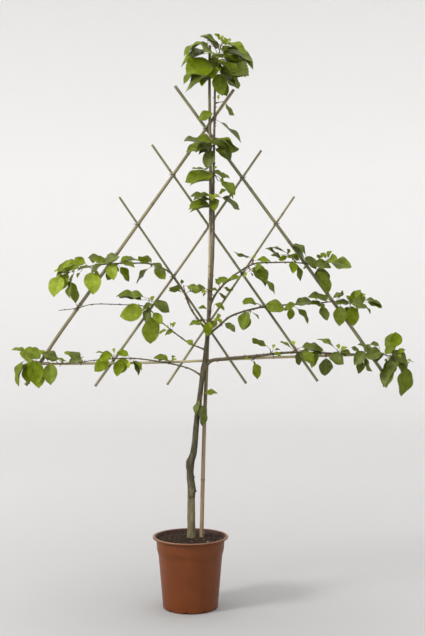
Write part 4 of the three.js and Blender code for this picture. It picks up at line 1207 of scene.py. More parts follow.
LENTICEL_SEED = 402
LENTICEL_COUNT = 330
LENTICEL_COLUMNS = 6
LENTICEL_RAISED = 0.12
LENTICEL_REACH = [0.04, 0.97]
LENTICEL_SPANS = [2.6, 6]
LENTICEL_HEIGHTS = [0.45, 0.8]
ON_BOUGHS = 0.45
# Across a pore, as [share of its half height, how far it stands out].
LENTICEL_SHAPE = [[-1, -0.2], [-0.4, 0.5], [0.4, 0.5], [1, -0.2]]
# The heights on the trunk where pores gather.
LENTICEL_BANDS = [357, 367, 372, 296, 330, 412, 520, 561, 604, 640]


def make_lenticels(material):
    """Short pale bars that lie round the limbs, many of them gathered in bands on the trunk."""
    shape = Shape()
    random = seeded(LENTICEL_SEED)
    trunk = limbs["trunk"]
    names = ["trunk"] * 3 + ["bough_" + name for name in BOUGHS]
    steps, rises = np.array(LENTICEL_SHAPE).T
    taper = np.sin(np.linspace(0, math.pi, LENTICEL_COLUMNS))
    for i in range(LENTICEL_COUNT):
        limb = limbs[names[i % len(names)]]
        share = mix(*LENTICEL_REACH, next(random))
        if limb is trunk and i % 3 == 0:
            share = share_at(trunk, 2, LENTICEL_BANDS[i // 3 % len(LENTICEL_BANDS)] + 2 * next(random))
        turn = next(random) * 2 * math.pi
        span = mix(*LENTICEL_SPANS, next(random)) * (1 if limb is trunk else ON_BOUGHS)
        high = mix(*LENTICEL_HEIGHTS, next(random))
        angles = turn + np.linspace(-0.5, 0.5, LENTICEL_COLUMNS) * span / limb.radius_at(share)
        stations = share + steps * high / limb.curve.length
        ways = np.array([side_way(limb, share, angle) for angle in angles])
        middles = limb.curve.at(stations)
        base = middles.mean(0) + (middles[:, None] - middles.mean(0)) * taper[None, :, None]
        rise = rises[:, None] * taper + LENTICEL_RAISED
        corners = base + ways * (limb.radii_at(stations)[:, None] + rise)[..., None]
        shape.add(corners, grid_faces(len(steps), LENTICEL_COLUMNS))
    piece("lenticels", shape, [material])


# Wire ties: two loops round what crosses, side by side, with a twisted tail that opens at its end.
TIE_RADIUS = 0.7
TIE_SIDES = 6
TIE_BULGE = 0.62
TIE_SHIFT = 0.8
LOOP_STEPS, LOOP_RINGS = 25, 40
TAIL_STEPS, TAIL_RINGS = 14, 22
TAIL_START = 0.4
TAIL_LENGTH = 11
TAIL_RADIUS = 0.595
TAIL_FORWARD = 0.35
TAIL_TWIST = 9
TAIL_OPENS = 0.6
TAIL_SPREAD = 5
# How much wider a tie is than what it holds, as a share or in millimetres, the level cane's radius
# there, and how far from a bough's ends it may be tied.
CANE_TIE_WIDE = 1.25
BOUGH_TIE_WIDE = 1.3
LEVEL_TIE_ROOM = 4
LEVEL_TIE_RADIUS = 4.4
LEVEL_TIE_END = 4


def rounded(values):
    """A sine or cosine made fuller, so that a loop comes out nearly square."""
    return np.sign(values) * np.abs(values) ** TIE_BULGE


def add_tie(shape, point, front, back, wide, direction):
    """Wire loops round a crossing between what lies in front and behind, each as [depth, radius]. Their
    tail points along a direction in degrees."""
    turn = math.radians(direction)
    way = np.array([math.cos(turn), 0.0, math.sin(turn)])
    lie = np.array([-way[2], 0, way[0]])
    middle = np.array([point[0], (front[0] + back[0]) / 2, point[1]])
    deep = (back[0] - front[0] + front[1] + back[1]) / 2 + TIE_RADIUS
    angles = np.linspace(0, 2 * math.pi, LOOP_STEPS)
    depth = rounded(np.cos(angles)) * deep
    across = rounded(np.sin(angles)) * (wide + TIE_RADIUS)
    for shift in (-TIE_SHIFT, TIE_SHIFT):
        loop = middle + np.outer(-depth, [0, 1, 0]) + np.outer(across, way) + lie * shift
        add_tube(shape, Curve(loop), np.linspace(0, 1, LOOP_RINGS), TIE_RADIUS, TIE_SIDES)
    knot = middle + np.array([0, -deep, 0]) + way * wide * TAIL_START
    along = np.linspace(0, 1, TAIL_STEPS)
    opened = np.maximum(0, along - TAIL_OPENS)
    coil = (1 + opened * TAIL_SPREAD) * TIE_SHIFT
    for side in (0, math.pi):
        spin = side + np.where(opened > 0, TAIL_OPENS, along) * TAIL_TWIST
        tail = (knot + np.outer(along * TAIL_LENGTH, unit(way + [0, -TAIL_FORWARD, 0]))
                + np.outer(np.cos(spin) * coil, [0, 1, 0]) + np.outer(np.sin(spin) * coil, lie))
        add_tube(shape, Curve(tail), np.linspace(0, 1, TAIL_RINGS), TAIL_RADIUS, TIE_SIDES)


# Canes that are tied where they cross, with the direction of each tie's tail in degrees, boughs that
# are tied to a cane, and boughs tied to the level cane as [bough, across, direction].
CANE_TIES = [["rise_long", "fall_middle", 180], ["rise_long", "fall_short", 178],
             ["rise_middle", "fall_long", 4], ["rise_short", "fall_long", 2],
             ["rise_middle", "fall_short", 186], ["rise_long", "fall_long", 200],
             ["rise_middle", "fall_middle", 10], ["rise_short", "fall_middle", 15]]
BOUGH_TIES = [["middle_right", "fall_middle", 80], ["upper_right", "fall_long", 170],
              ["middle_left", "rise_long", 100], ["upper_left", "rise_long", 60]]
LEVEL_TIES = [["lower_left", -386, 70], ["lower_right", 214, 60], ["lower_right", 512, 110]]


def make_ties(material):
    shape = Shape()
    for first, second, direction in CANE_TIES:
        one, two, point = crossing(CANES[first]["guides"], CANES[second]["guides"])
        pair = [[cane_depth(first, one), cane_radius(first, one)],
                [cane_depth(second, two), cane_radius(second, two)]]
        add_tie(shape, point, *sorted(pair), max(radius for _, radius in pair) * CANE_TIE_WIDE, direction)
    for bough, cane, direction in BOUGH_TIES:
        _, two, point = crossing(BOUGHS[bough]["guides"], CANES[cane]["guides"])
        limb = limbs["bough_" + bough]
        share = share_at(limb, 0, point[0])
        radius = cane_radius(cane, two)
        add_tie(shape, point, [limb.curve.at(share)[1], limb.radius_at(share)],
                [cane_depth(cane, two), radius], radius * BOUGH_TIE_WIDE, direction)
    level = limbs["cane_level"]
    for bough, across, direction in LEVEL_TIES:
        limb = limbs["bough_" + bough]
        first, last = limb.points[:, 0].min() + LEVEL_TIE_END, limb.points[:, 0].max() - LEVEL_TIE_END
        near = min(last, max(first, across))
        share = share_at(limb, 0, near)
        held = limb.curve.at(share)
        cane = level.curve.at(share_at(level, 0, near))
        add_tie(shape, [near, (held[2] + cane[2]) / 2], [held[1], limb.radius_at(share)],
                [cane[1], LEVEL_TIE_RADIUS], abs(held[2] - cane[2]) / 2 + LEVEL_TIE_ROOM, direction)
    piece("wire_ties", shape, [material])


# Leaves and twigs

# The materials of a leaf by number.
UPPER, UNDER, RIB = range(3)
# The columns of a blade from its edge, as shares of its half width. The rib's edges come after them.
BLADE_OUT = [1, 0.76, 0.42]
BLADE_WIDER = 1.04
BLADE_THICK = 0.3
LEAST_HALF = 0.5
# The rib's column, its half width and depth on a leaf of the length given after them, and the
# share of the blade that it takes up at most.
RIB_COLUMN = 3
RIB_HALF = 0.75
RIB_HALF_AT = 60
RIB_DEPTH = 0.6
RIB_DEPTH_AT = 50
RIB_LIMIT = 0.4
# A blade's rows of corners by its length: [longer than, rows].
BLADE_ROWS = [[38, 31], [24, 21], [0, 13]]
TOOTH = 0.045
TOOTH_SLANT = 0.3
TOOTHED = [0.08, 0.97]
VEIN_PAIRS = 7
VEIN_SLANT = 0.3
VEIN_RELIEF = 0.011
TIP_NARROWS = 0.86
EDGE_WAVE = 0.15
EDGE_WAVES = 9.5
BEND = 0.35
CURL = 0.09
CURLS_FROM = 0.6
TWISTS_FROM = 0.25
TWIST = 0.9
WAVE_TURN = 6.3


def half_width(share):
    """The half width of a leaf whose oval is drawn out to a point."""
    near_tip = np.clip((share - TIP_NARROWS) / (1 - TIP_NARROWS), 0, 1)
    return oval(share) * (1 - 0.5 * near_tip ** 1.5)


def add_leaf(shape, leaf, random, fold):
    """A leaf's blade with a toothed edge, a pale rib, ripples between its veins, and its own bend."""
    length = leaf.length
    rows = next(rows for longer, rows in BLADE_ROWS if length > longer)
    share = np.linspace(0, 1, rows)
    half = np.maximum(half_width(share) * LEAF_HALF_WIDTH * BLADE_WIDER * length, LEAST_HALF)
    rib = np.minimum(RIB_HALF * (1.1 - share) * length / RIB_HALF_AT, half * RIB_LIMIT) / half
    outs = np.array([[-out for out in BLADE_OUT] + [-r, r] + BLADE_OUT[::-1] for r in rib])
    bend, curl, twist = (next(random) - 0.35) * 0.5, next(random), swing(random, TWIST)
    waves = [next(random) * WAVE_TURN, next(random) * WAVE_TURN]

    share = share[:, None]
    half = half[:, None]
    size = np.abs(outs)
    peak = (np.arange(rows) % 2)[:, None]
    edge = (size == 1) & (share > TOOTHED[0]) & (share < TOOTHED[1])
    spread = half * outs * np.where(edge, 1 + TOOTH * (2 * peak - 1), 1)
    forward = share + np.where(edge, TOOTH_SLANT / rows * peak, 0)
    veins = np.cos(2 * math.pi * VEIN_PAIRS * (share - VEIN_SLANT * size))
    near_tip = np.clip((share - CURLS_FROM) / (1 - CURLS_FROM), 0, 1)
    lift = (np.abs(spread) * fold * (0.55 + 0.45 * size)
            + half * EDGE_WAVE * size ** 2 * np.sin(EDGE_WAVES * share + np.where(outs < 0, *waves))
            + length * VEIN_RELIEF * veins * size * (1.15 - size)
            + length * BEND * bend * share * (1 - share)
            - length * CURL * curl * near_tip ** 2)

    angle = (twist * (share - TWISTS_FROM))[..., None]
    side = leaf.side * np.cos(angle) + leaf.upper * np.sin(angle)
    upper = leaf.upper * np.cos(angle) - leaf.side * np.sin(angle)
    top = leaf.base + leaf.along * (forward * length)[..., None]
    top[..., 2] -= length * LEAF_SAG * forward ** 2
    top = top + side * spread[..., None] + upper * lift[..., None]
    thick = np.full(outs.shape, BLADE_THICK)
    thick[:, RIB_COLUMN:RIB_COLUMN + 2] += RIB_DEPTH * (1 - share) * min(1, length / RIB_DEPTH_AT)
    under = top - upper * thick[..., None]

    columns = outs.shape[1]
    faces = grid_faces(rows, columns)
    on_rib = np.tile(np.arange(columns - 1), rows - 1) == RIB_COLUMN
    shape.add(top, faces, np.where(on_rib, RIB, UPPER))
    shape.add(under, faces[:, ::-1], np.where(on_rib, RIB, UNDER))
    index = np.arange(rows * columns).reshape(rows, columns)
    loop = np.concatenate([index[0, :-1], index[:-1, -1], index[-1, :0:-1], index[:0:-1, 0]])
    after = np.roll(loop, -1)
    low = rows * columns
    rim = np.stack([loop + low, after + low, after, loop], axis=1)
    shape.add(np.concatenate([top, under]), rim, UPPER)


# The two colours of each tone, and how much it shines: the deepest leaves have a greyish gloss.
# The tones are partly the leaves' own colour and partly painted light and shade: the deep tone darkens
# leaves as painted shade, and the bright and young tones lighten them as painted light.
TONES = {
    "deep": ([(66, 76, 8), (90, 100, 18)], 0.35),
    "middle": ([(80, 93, 6), (104, 118, 18)], 0.2),
    "bright": ([(92, 107, 5), (118, 133, 20)], 0.1),
    "pale": ([(110, 124, 18), (138, 152, 40)], 0.2),
    "young": ([(122, 132, 30), (148, 156, 56)], 0.2),
}
# The tone of most leaves of a spray, where it isn't the middle one. The deep tone here is partly painted
# shade on sprays that lie in shade, and the bright tone is partly painted light on sprays that catch the
# light.
SPRAY_TONES = {
    "deep": ["trunk_foot", "leader_waist", "leader_top", "leader_left_high", "leader_right_high",
             "leader_left_low", "lower_right_outer"],
    "bright": ["middle_left_under", "lower_left_tip", "lower_left_middle", "lower_left_inner",
               "lower_right_root"],
    "pale": ["upper_left_tip", "upper_left_outer"],
}
TONE_ORDER = ["deep", "middle", "bright", "pale"]
SMALL_LEAF = 30
# The draws below which a small leaf is young, a small leaf goes one tone up and any leaf one tone
# down, and the draw above which any leaf goes one tone up.
YOUNG_BELOW = 0.3
SMALL_UP_BELOW = 0.5
DOWN_BELOW = 0.22
UP_ABOVE = 0.74

# Leaves that fill the sprays out as the photograph shows them: the tone, the pixels of the photograph
# at the blade's base and tip, and how it faces.
# Their deep tones are partly painted shade, and their bright and young tones are partly painted light.
FILL_LEAVES = [
    # The crown. Its young tone is partly a painted glow of light shining through the leaves.
    ["middle", 203, 41, 185, 54, 0.4], ["middle", 219, 46, 200, 33, 0.3],
    ["bright", 205, 52, 182, 64, 0.4], ["bright", 226, 42, 246, 52, 0.5],
    ["middle", 236, 53, 252, 67, 0.5], ["middle", 229, 70, 238, 86, 0.25],
    ["middle", 218, 73, 222, 92, 1], ["young", 213, 55, 215, 69, 0.9], ["young", 224, 43, 219, 35, 0.6],
    ["young", 225, 43, 231, 36, 0.6], ["young", 208, 45, 201, 40, 0.5], ["middle", 222, 62, 238, 73, 0.7],
    ["bright", 222, 55, 240, 60, 0.6], ["middle", 226, 48, 244, 61, 0.6],
    ["middle", 212, 41, 200, 34, 0.35], ["young", 226, 44, 232, 37, 0.6],
    ["young", 226, 43, 224, 35, 0.6], ["middle", 222, 50, 231, 44, 0.7], ["young", 221, 56, 211, 55, 0.8],
    ["deep", 219, 63, 221, 74, 0.6], ["middle", 200, 68, 185, 82, 0.4],
    # Along the leader.
    ["deep", 213, 145, 196, 151, 0.7], ["deep", 211, 140, 226, 147, 0.8],
    ["middle", 217, 138, 234, 148, 0.45], ["middle", 213, 174, 196, 180, 0.8],
    ["deep", 214, 170, 223, 178, 0.6], ["deep", 210, 195, 194, 199, 0.45],
    ["middle", 209, 204, 189, 209, 0.6], ["young", 212, 198, 221, 195, 0.6],
    ["young", 213, 200, 209, 193, 0.6], ["middle", 211, 141, 196, 137, 0.7],
    ["deep", 212, 148, 199, 153, 0.6], ["middle", 211, 180, 190, 184, 0.4],
    ["deep", 211, 199, 199, 202, 0.5], ["middle", 210, 206, 190, 211, 0.5],
    ["middle", 224, 184, 233, 197, 0.5], ["deep", 216, 148, 226, 156, 0.8],
    # The upper left bough.
    ["deep", 99, 259, 87, 257, 0.8], ["deep", 104, 263, 120, 256, 0.7], ["deep", 124, 261, 139, 260, 0.4],
    ["deep", 151, 262, 141, 256, 0.6], ["middle", 108, 264, 118, 271, 0.5],
    ["middle", 66, 281, 74, 301, 0.35], ["middle", 74, 264, 57, 270, 0.5],
    ["middle", 106, 263, 92, 259, 0.7], ["deep", 102, 264, 92, 272, 0.5], ["pale", 110, 264, 113, 278, 1],
    ["middle", 120, 263, 134, 267, 0.4], ["deep", 152, 263, 162, 273, 0.6],
    ["middle", 70, 270, 56, 276, 0.5], ["deep", 89, 267, 77, 270, 0.4],
    # The middle left bough.
    ["middle", 141, 300, 115, 295, 0.35], ["deep", 152, 304, 143, 310, 0.7],
    ["middle", 174, 332, 165, 335, 0.5], ["young", 193, 346, 186, 340, 0.6],
    ["middle", 202, 324, 189, 325, 0.5], ["middle", 207, 309, 198, 308, 0.4],
    ["deep", 150, 308, 146, 321, 0.8],
    # The lower left bough.
    ["middle", 24, 352, 10, 350, 0.4], ["bright", 36, 357, 18, 352, 0.8],
    ["middle", 22, 362, 18, 384, 0.5], ["bright", 33, 361, 35, 383, 0.9], ["middle", 50, 364, 50, 383, 1],
    ["deep", 80, 360, 67, 352, 0.4], ["deep", 56, 360, 41, 353, 0.6], ["deep", 133, 361, 138, 374, 0.5],
    ["middle", 168, 361, 155, 357, 0.5], ["bright", 112, 355, 99, 360, 0.9],
    ["bright", 120, 361, 117, 375, 1], ["deep", 82, 361, 68, 362, 0.5], ["bright", 30, 362, 28, 382, 0.8],
    # The fork.
    ["middle", 228, 279, 217, 283, 0.7], ["middle", 241, 277, 228, 282, 0.5],
    ["deep", 219, 293, 225, 300, 0.4], ["middle", 215, 304, 224, 310, 0.6],
    ["young", 212, 329, 217, 319, 0.8],
    # The upper right bough.
    ["deep", 277, 255, 265, 247, 0.25], ["deep", 306, 254, 292, 243, 0.4],
    ["middle", 300, 260, 287, 256, 0.6], ["deep", 306, 257, 316, 268, 0.9],
    ["deep", 315, 266, 332, 267, 0.6], ["middle", 318, 272, 328, 292, 0.8],
    ["deep", 281, 258, 271, 254, 0.6], ["middle", 256, 266, 265, 284, 0.8],
    # The middle right bough.
    ["middle", 256, 303, 242, 302, 0.5], ["middle", 248, 312, 243, 328, 0.9],
    ["deep", 328, 302, 308, 296, 0.35], ["deep", 334, 298, 344, 294, 0.5],
    ["deep", 336, 304, 350, 303, 0.5], ["deep", 367, 300, 383, 306, 0.35],
    ["deep", 322, 306, 310, 303, 0.5], ["middle", 322, 303, 324, 309, 0.9],
    ["middle", 352, 304, 347, 294, 0.7], ["deep", 352, 303, 366, 308, 0.8],
    ["middle", 296, 304, 286, 310, 0.7],
    # The lower right bough.
    ["deep", 324, 351, 304, 349, 0.5], ["middle", 303, 353, 314, 363, 0.95],
    ["deep", 331, 355, 344, 362, 0.9], ["deep", 366, 352, 356, 364, 0.9],
    ["deep", 368, 349, 358, 344, 0.5], ["deep", 380, 346, 371, 344, 0.6],
    ["middle", 386, 354, 397, 347, 0.7], ["deep", 382, 353, 366, 357, 0.9],
    ["deep", 400, 361, 386, 385, 0.35], ["deep", 392, 352, 407, 364, 0.8],
    ["deep", 352, 355, 340, 352, 0.5], ["bright", 396, 347, 397, 330, 1],
    ["middle", 318, 355, 313, 367, 0.8], ["deep", 330, 358, 344, 364, 0.8],
    ["deep", 398, 364, 388, 386, 0.35],
]
# The size of a pixel in the trained plane, and the pixel where the pot stands.
PIXEL = 3.3
FOOT_PIXEL = [190.5, 608.3]
FILL_DEPTHS = [-9, -20, 9, -31, 20, -42, 31, 42]
FILL_CLEAR = (0.8, 2)
FILL_SHARES = np.linspace(0.15, 1, 12)
FILL_TIP_DEPTH = 1.5
FILL_STALK_ARCH = 3


def seen_at(x, y, depth):
    """The place that a pixel of the photograph shows at a depth behind the trained plane."""
    eye = np.array(CAMERA_PLACE) / MM
    flat = np.array([(x - FOOT_PIXEL[0]) * PIXEL, 0, (FOOT_PIXEL[1] - y) * PIXEL])
    return flat + (flat - eye) * (depth / -eye[1])


def fill_leaf(base_x, base_y, tip_x, tip_y, face, sprays):
    """A leaf on a stalk from the nearest twig, in front of or behind what is in its way."""
    shown = seen_at(base_x, base_y, 0)
    apart = [np.linalg.norm((spray.curve.at(FILL_SHARES) - shown)[:, [0, 2]], axis=1) for spray in sprays]
    nearest, stop = np.unravel_index(np.argmin(apart), np.shape(apart))
    spray = sprays[nearest]
    root = spray.curve.at(FILL_SHARES[stop])
    for depth in FILL_DEPTHS:
        base = seen_at(base_x, base_y, root[1] + depth)
        way = seen_at(tip_x, tip_y, root[1] + depth * FILL_TIP_DEPTH) - base
        length = np.linalg.norm(way)
        stalk = Curve([root, (root + base) / 2 + [0, 0, FILL_STALK_ARCH], base], bend=True)
        leaf = Leaf(stalk, base, unit(way + [0, 0, LEAF_SAG * length]), length, face, 1)
        if finds_room(leaf, FILL_CLEAR):
            return spray, leaf
    return None


def tone_of(spray, leaf, random):
    """The tone that a leaf is dealt: its spray's own, or now and then the next lighter or darker."""
    draw = next(random)
    small = leaf.length < SMALL_LEAF
    if small and draw < YOUNG_BELOW:
        return "young"
    own = next((tone for tone, names in SPRAY_TONES.items() if spray.name in names), "middle")
    place = TONE_ORDER.index(own)
    if small and draw < SMALL_UP_BELOW or draw > UP_ABOVE:
        place += 1
    elif draw < DOWN_BELOW:
        place -= 1
    return TONE_ORDER[min(len(TONE_ORDER) - 1, max(0, place))]


STALK_ROWS = 9
# A small leaf's stalk is thinner, by a share that grows with the leaf's length.
THINNEST_STALK = 0.55
FULL_STALK_AT = 120
GLAND_OUT = 0.5
GLAND_LIFT = 0.6
# A stalk's radius along it, as [share of its length, radius].
STALK_SHAPE = [[0, 1.25], [0.12, 0.85], [0.5, 0.68], [0.9, 0.72], [1, 0.8]]
STALK_SIDES = 7
GLAND_PLACE = 0.86
GLAND_LENGTH = 1.3
GLAND_RADII = [0.5, 0.6, 0.25]
GLAND_SIDES = 6


def add_stalk(shape, leaf):
    """A leaf's stalk, sunk into its twig and thickened at both ends, with two glands near the blade."""
    shares = np.linspace(0, 1, STALK_ROWS)
    radii = between(STALK_SHAPE, shares) * min(1, THINNEST_STALK + leaf.length / FULL_STALK_AT)
    add_tube(shape, leaf.stalk, shares, radii, STALK_SIDES)
    if leaf.length > SMALL_LEAF:
        for side in (-1, 1):
            root = leaf.stalk.at(GLAND_PLACE) + leaf.side * side * GLAND_OUT
            way = unit(leaf.side * side + leaf.upper * GLAND_LIFT)
            core = Curve([root, root + way * GLAND_LENGTH])
            add_tube(shape, core, [0, 0.5, 1], GLAND_RADII, GLAND_SIDES, 1)


# How far the halves of a leaf fold up, on leaves that fill the sprays and on finer twigs.
FILL_FOLD = 0.4
FINE_FOLD = 0.55
FILL_SEED = 77
SPRAY_SEED = 900
# The buds round a twig's root, how far they spread, the sizes of buds there, at a leaf and at the
# twig's end, and how they sit.
ROOT_BUDS = 4
ROOT_BUD_SPREAD = 1.6
ROOT_BUD_SIZES = [0.9, 1.6]
LEAF_BUD_SIZE = 0.75
END_BUD_SIZE = 0.95
ROOT_BUD_OUT = 0.8
LEAF_BUD_OUT = 0.6
LEAF_BUD_LEAN = 1.2
END_BUD_SUNK = 0.4


def make_foliage(sprays):
    """The leaves by tone with the nodes that they stand for, and their stalks, twigs and buds."""
    leaves = {tone: Shape() for tone in TONES}
    holders = {tone: set() for tone in TONES}
    stalks, twigs, buds = Shape(), Shape(), make_buds()

    def add(spray, leaf, tone, fold, random):
        add_leaf(leaves[tone], leaf, random, fold)
        holders[tone].add("leaves_" + spray.name)
        add_stalk(stalks, leaf)

    random = seeded(FILL_SEED)
    for tone, *row in FILL_LEAVES:
        found = fill_leaf(*row, sprays)
        if found:
            spray, leaf = found
            add(spray, leaf, tone, FILL_FOLD, random)
    for number, spray in enumerate(sprays):
        random = seeded(SPRAY_SEED + number)
        finer = finer_twigs(spray, random, twigs, buds)
        folded = [(leaf, LEAF_FOLD) for _, leaf in spray.leaves] + [(leaf, FINE_FOLD) for leaf in finer]
        for leaf, fold in folded:
            add(spray, leaf, tone_of(spray, leaf, random), fold, random)
        make_twig(twigs, spray)
        for _ in range(0 if spray.at_tip else ROOT_BUDS):
            way = unit(spray.root_way + [swing(random, ROOT_BUD_SPREAD) for _ in range(3)])
            knot = spray.curve.at(0) + way * spray.limb.radius_at(spray.share) * ROOT_BUD_OUT
            add_bud(buds, knot, way, mix(*ROOT_BUD_SIZES, next(random)))
        for share, leaf in spray.leaves:
            way = unit(leaf.stalk.along(0) + spray.curve.along(share) * LEAF_BUD_LEAN)
            add_bud(buds, spray.curve.at(share) + way * LEAF_BUD_OUT, way, LEAF_BUD_SIZE)
        tip = spray.curve.along(1)
        add_bud(buds, spray.curve.at(1) - tip * END_BUD_SUNK, tip, END_BUD_SIZE)
    return leaves, holders, stalks, twigs, buds


TWIG_ROW = 2.2
TWIG_LEAST_ROWS = 10
TWIG_SIDES = 9
TWIG_SWELL = 1.25
TWIG_END = 1.05
TIP_TAPER = 0.55
# How far a tip's twig reaches into its limb, and past its own start.
TIP_SLEEVE = [3, 0.6]
UNDER_LEAF = 0.5
UNDER_LEAF_LENGTH = 1.8
# Where the rings of scars lie round a twig, in millimetres from its root, how far they stand out,
# and their length.
TWIG_SCARS = [3, 4.2, 5.4]
SCAR_RISE = 0.18
SCAR_LENGTH = 0.5


def make_twig(shape, spray):
    """A twig that starts inside its limb, with rings of scars and a swelling under each leaf."""
    shares = np.linspace(0, 1, max(TWIG_LEAST_ROWS, int(spray.curve.length / TWIG_ROW)))
    start = spray.limb.radius_at(1) if spray.at_tip else spray.radius * TWIG_SWELL
    radii = mix(start, STALK_RADIUS * TWIG_END, shares ** (TIP_TAPER if spray.at_tip else 1))
    for share, _ in spray.leaves:
        past = (shares - share) * spray.curve.length
        radii = radii + UNDER_LEAF * np.exp(-(past / UNDER_LEAF_LENGTH) ** 2)
    for scar in TWIG_SCARS:
        radii = radii + SCAR_RISE * np.exp(-((shares * spray.curve.length - scar) / SCAR_LENGTH) ** 2)
    add_tube(shape, spray.curve, shares, radii, TWIG_SIDES)
    if spray.at_tip:
        root = spray.curve.at(0)
        sleeve = Curve([root - spray.root_way * TIP_SLEEVE[0], root + spray.root_way * TIP_SLEEVE[1]])
        add_tube(shape, sleeve, [0, 1], start, TWIG_SIDES)


FINE_CLEAR = (1.2, 3)
FINE_SPACING = 38
FINE_REACH = [0.2, 0.98]
FINE_TURN = [0.5, 1.1]
FINE_RADII = [1.15, 1.0, 1.0, 0.95, 0.95, 0.9]
# A twig of this length or more has the longest shoots and the largest leaves.
LONG_TWIG = 110
# The length of a shoot and of its leaves, what a draw adds to it, and what a long twig adds.
SHOOT_LENGTH, SHOOT_DRAWN, SHOOT_LONGER = 3.5, 5, 7
SHOOT_LEAF, SHOOT_LEAF_DRAWN, SHOOT_LEAF_LONGER = 10, 8, 14
# How far shoots swing in depth, how far their leaves swing, in radians, and tilt, in degrees, and
# how the leaves face.
SHOOT_SWING = 1.2
SHOOT_LEAF_SWING = 2.4
SHOOT_LEAF_TILT = 90
SHOOT_LEAF_FACES = [0.35, 0.95]
# Sprays round which the photograph shows only the leaves that they have.
PLAIN_SPRAYS = ["leader_right_top", "leader_top", "trunk_foot", "leader_fork_left", "leader_fork_right",
                "upper_left_inner", "leader_left_low", "leader_right_low"]


def finer_twigs(spray, random, twigs, buds):
    """Short shoots off a spray's twig, each with a leaf or two: tufts on spurs, larger on long twigs."""
    made = []
    if spray.name in PLAIN_SPRAYS:
        return made
    more = min(1, spray.curve.length / LONG_TWIG)
    count = 1 + int(spray.curve.length / FINE_SPACING)
    for i in range(count):
        share = mix(*FINE_REACH, (i + next(random)) / count)
        along = spray.curve.along(share)
        turn = mix(*FINE_TURN, next(random)) * (1 if next(random) < 0.5 else -1)
        across = unit(np.cross(along, [0, -1, 0]) + [0, 0, 1e-6])
        way = unit(along * math.cos(turn) + across * math.sin(turn) + [0, swing(random, SHOOT_SWING), 0])
        root = spray.curve.at(share)
        reach = SHOOT_LENGTH + SHOOT_DRAWN * next(random) + SHOOT_LONGER * more
        tip = root + way * reach
        if gap_to_limbs(tip[None]) < 1:
            continue
        shoot = Curve([root, root + way * reach * 0.5, tip + [0, 0, 0.8]], bend=True)
        add_tube(twigs, shoot, np.linspace(0, 1, len(FINE_RADII)), FINE_RADII, STALK_SIDES)
        add_bud(buds, tip, way, 0.8)
        flat = math.atan2(way[2], way[0])
        for _ in range(1 + int(next(random) * 2)):
            aim = flat + swing(random, SHOOT_LEAF_SWING)
            tilt = swing(random, SHOOT_LEAF_TILT)
            grown = SHOOT_LEAF + (SHOOT_LEAF_DRAWN + SHOOT_LEAF_LONGER * more) * next(random)
            face = mix(*SHOOT_LEAF_FACES, next(random))
            leaf = leaf_with_room(tip, aim, tilt, grown, face, 1, FINE_CLEAR)
            if leaf:
                made.append(leaf)
    return made


# The studio

ROOM_RADIUS = 8200
ROOM_BEND = 2600
ROOM_HEIGHT = 7000
ROOM_SIDES = 96
# How far out the rings of the flat floor lie.
FLOOR_RINGS = [0, 400, 1500, 3500]
# The paper's grey by its way out from the pot and up the wall, in millimetres, as it shows: painted light
# and shade, darkest round the pot, lightest high on the wall and darker again at its top.
PAPER_PAINTED_SHADE = [[0, 166], [350, 169], [700, 176], [1500, 185], [2700, 196], [5600, 213], [7600, 218],
               [10800, 233], [12200, 224], [13600, 212]]


def make_paper():
    """Matt paper whose grey is painted light and shade, changing slowly with the way out from the pot and
    up the wall.
    """
    material = surface("studio_paper", [(226, 224, 224), (229, 227, 227)], (900, 900, 900), 0.9,
                       bump=0.0, gloss=0.0)
    nodes = material.node_tree.nodes
    furthest = PAPER_PAINTED_SHADE[-1][0]
    apart = add_node(material, "SeparateXYZ")
    flat = add_node(material, "CombineXYZ")
    out = add_node(material, "VectorMath")
    out.operation = "LENGTH"
    way = add_node(material, "Math")
    way.operation = "ADD"
    share = add_node(material, "MapRange", From_Max=furthest * MM)
    # The grey ramp paints the light and shade onto the paper.
    stops = [(place / furthest, (grey, grey - 1, grey - 2)) for place, grey in PAPER_PAINTED_SHADE]
    painted_greys = add_ramp(material, stops)
    join(material,
         [nodes["Texture Coordinate"], "Object", apart, "Vector"],
         [apart, "X", flat, "X"],
         [apart, "Y", flat, "Y"],
         [flat, "Vector", out, 0],
         [out, "Value", way, 0],
         [apart, "Z", way, 1],
         [way, "Value", share, "Value"],
         [share, "Result", painted_greys, "Fac"],
         [painted_greys, "Color", nodes["Principled BSDF"], "Base Color"])
    return material


def make_stage():
    """A pale round floor that bends up into a pale wall."""
    bend = arc([ROOM_RADIUS - ROOM_BEND, ROOM_BEND], ROOM_BEND, -90, 0, 20)
    floor = [[radius, 0] for radius in FLOOR_RINGS]
    corners, _ = turned([*floor, *bend, [ROOM_RADIUS, ROOM_HEIGHT]], ROOM_SIDES)
    shape = Shape()
    shape.add(corners, grid_faces(len(corners), ROOM_SIDES, closed=True)[:, ::-1])
    mesh_object("studio_floor", shape, [make_paper()])


# The lights: the place in metres, the height that each one points at over the pot, its size and power.
LIGHTS = {
    "key_light": ((-5.4, -3.24, 4.3), 0.9, 2, 393),
    "fill_light": ((0.8, -4.2, 2.4), 0.9, 2.6, 22),
    "top_light": ((0.2, 0.6, 4.6), 0.6, 2.4, 34),
}
AIR_LIGHT = 1.2
# How far the camera sees, in metres.
CAMERA_REACH = 60


def make_light():
    for name, (place, height, size, power) in LIGHTS.items():
        lamp = bpy.data.lights.new(name, "AREA")
        lamp.shape = "DISK"
        lamp.size = size
        lamp.energy = power
        made = put_in_scene(name, lamp)
        made.location = place
        made.rotation_euler = (Vector((0, 0, height)) - Vector(place)).to_track_quat("-Z", "Y").to_euler()
    world = bpy.data.worlds.new("studio_air")
    world.use_nodes = True
    air = world.node_tree.nodes["Background"]
    air.inputs["Color"].default_value = (1, 1, 1, 1)
    air.inputs["Strength"].default_value = AIR_LIGHT
    bpy.context.scene.world = world


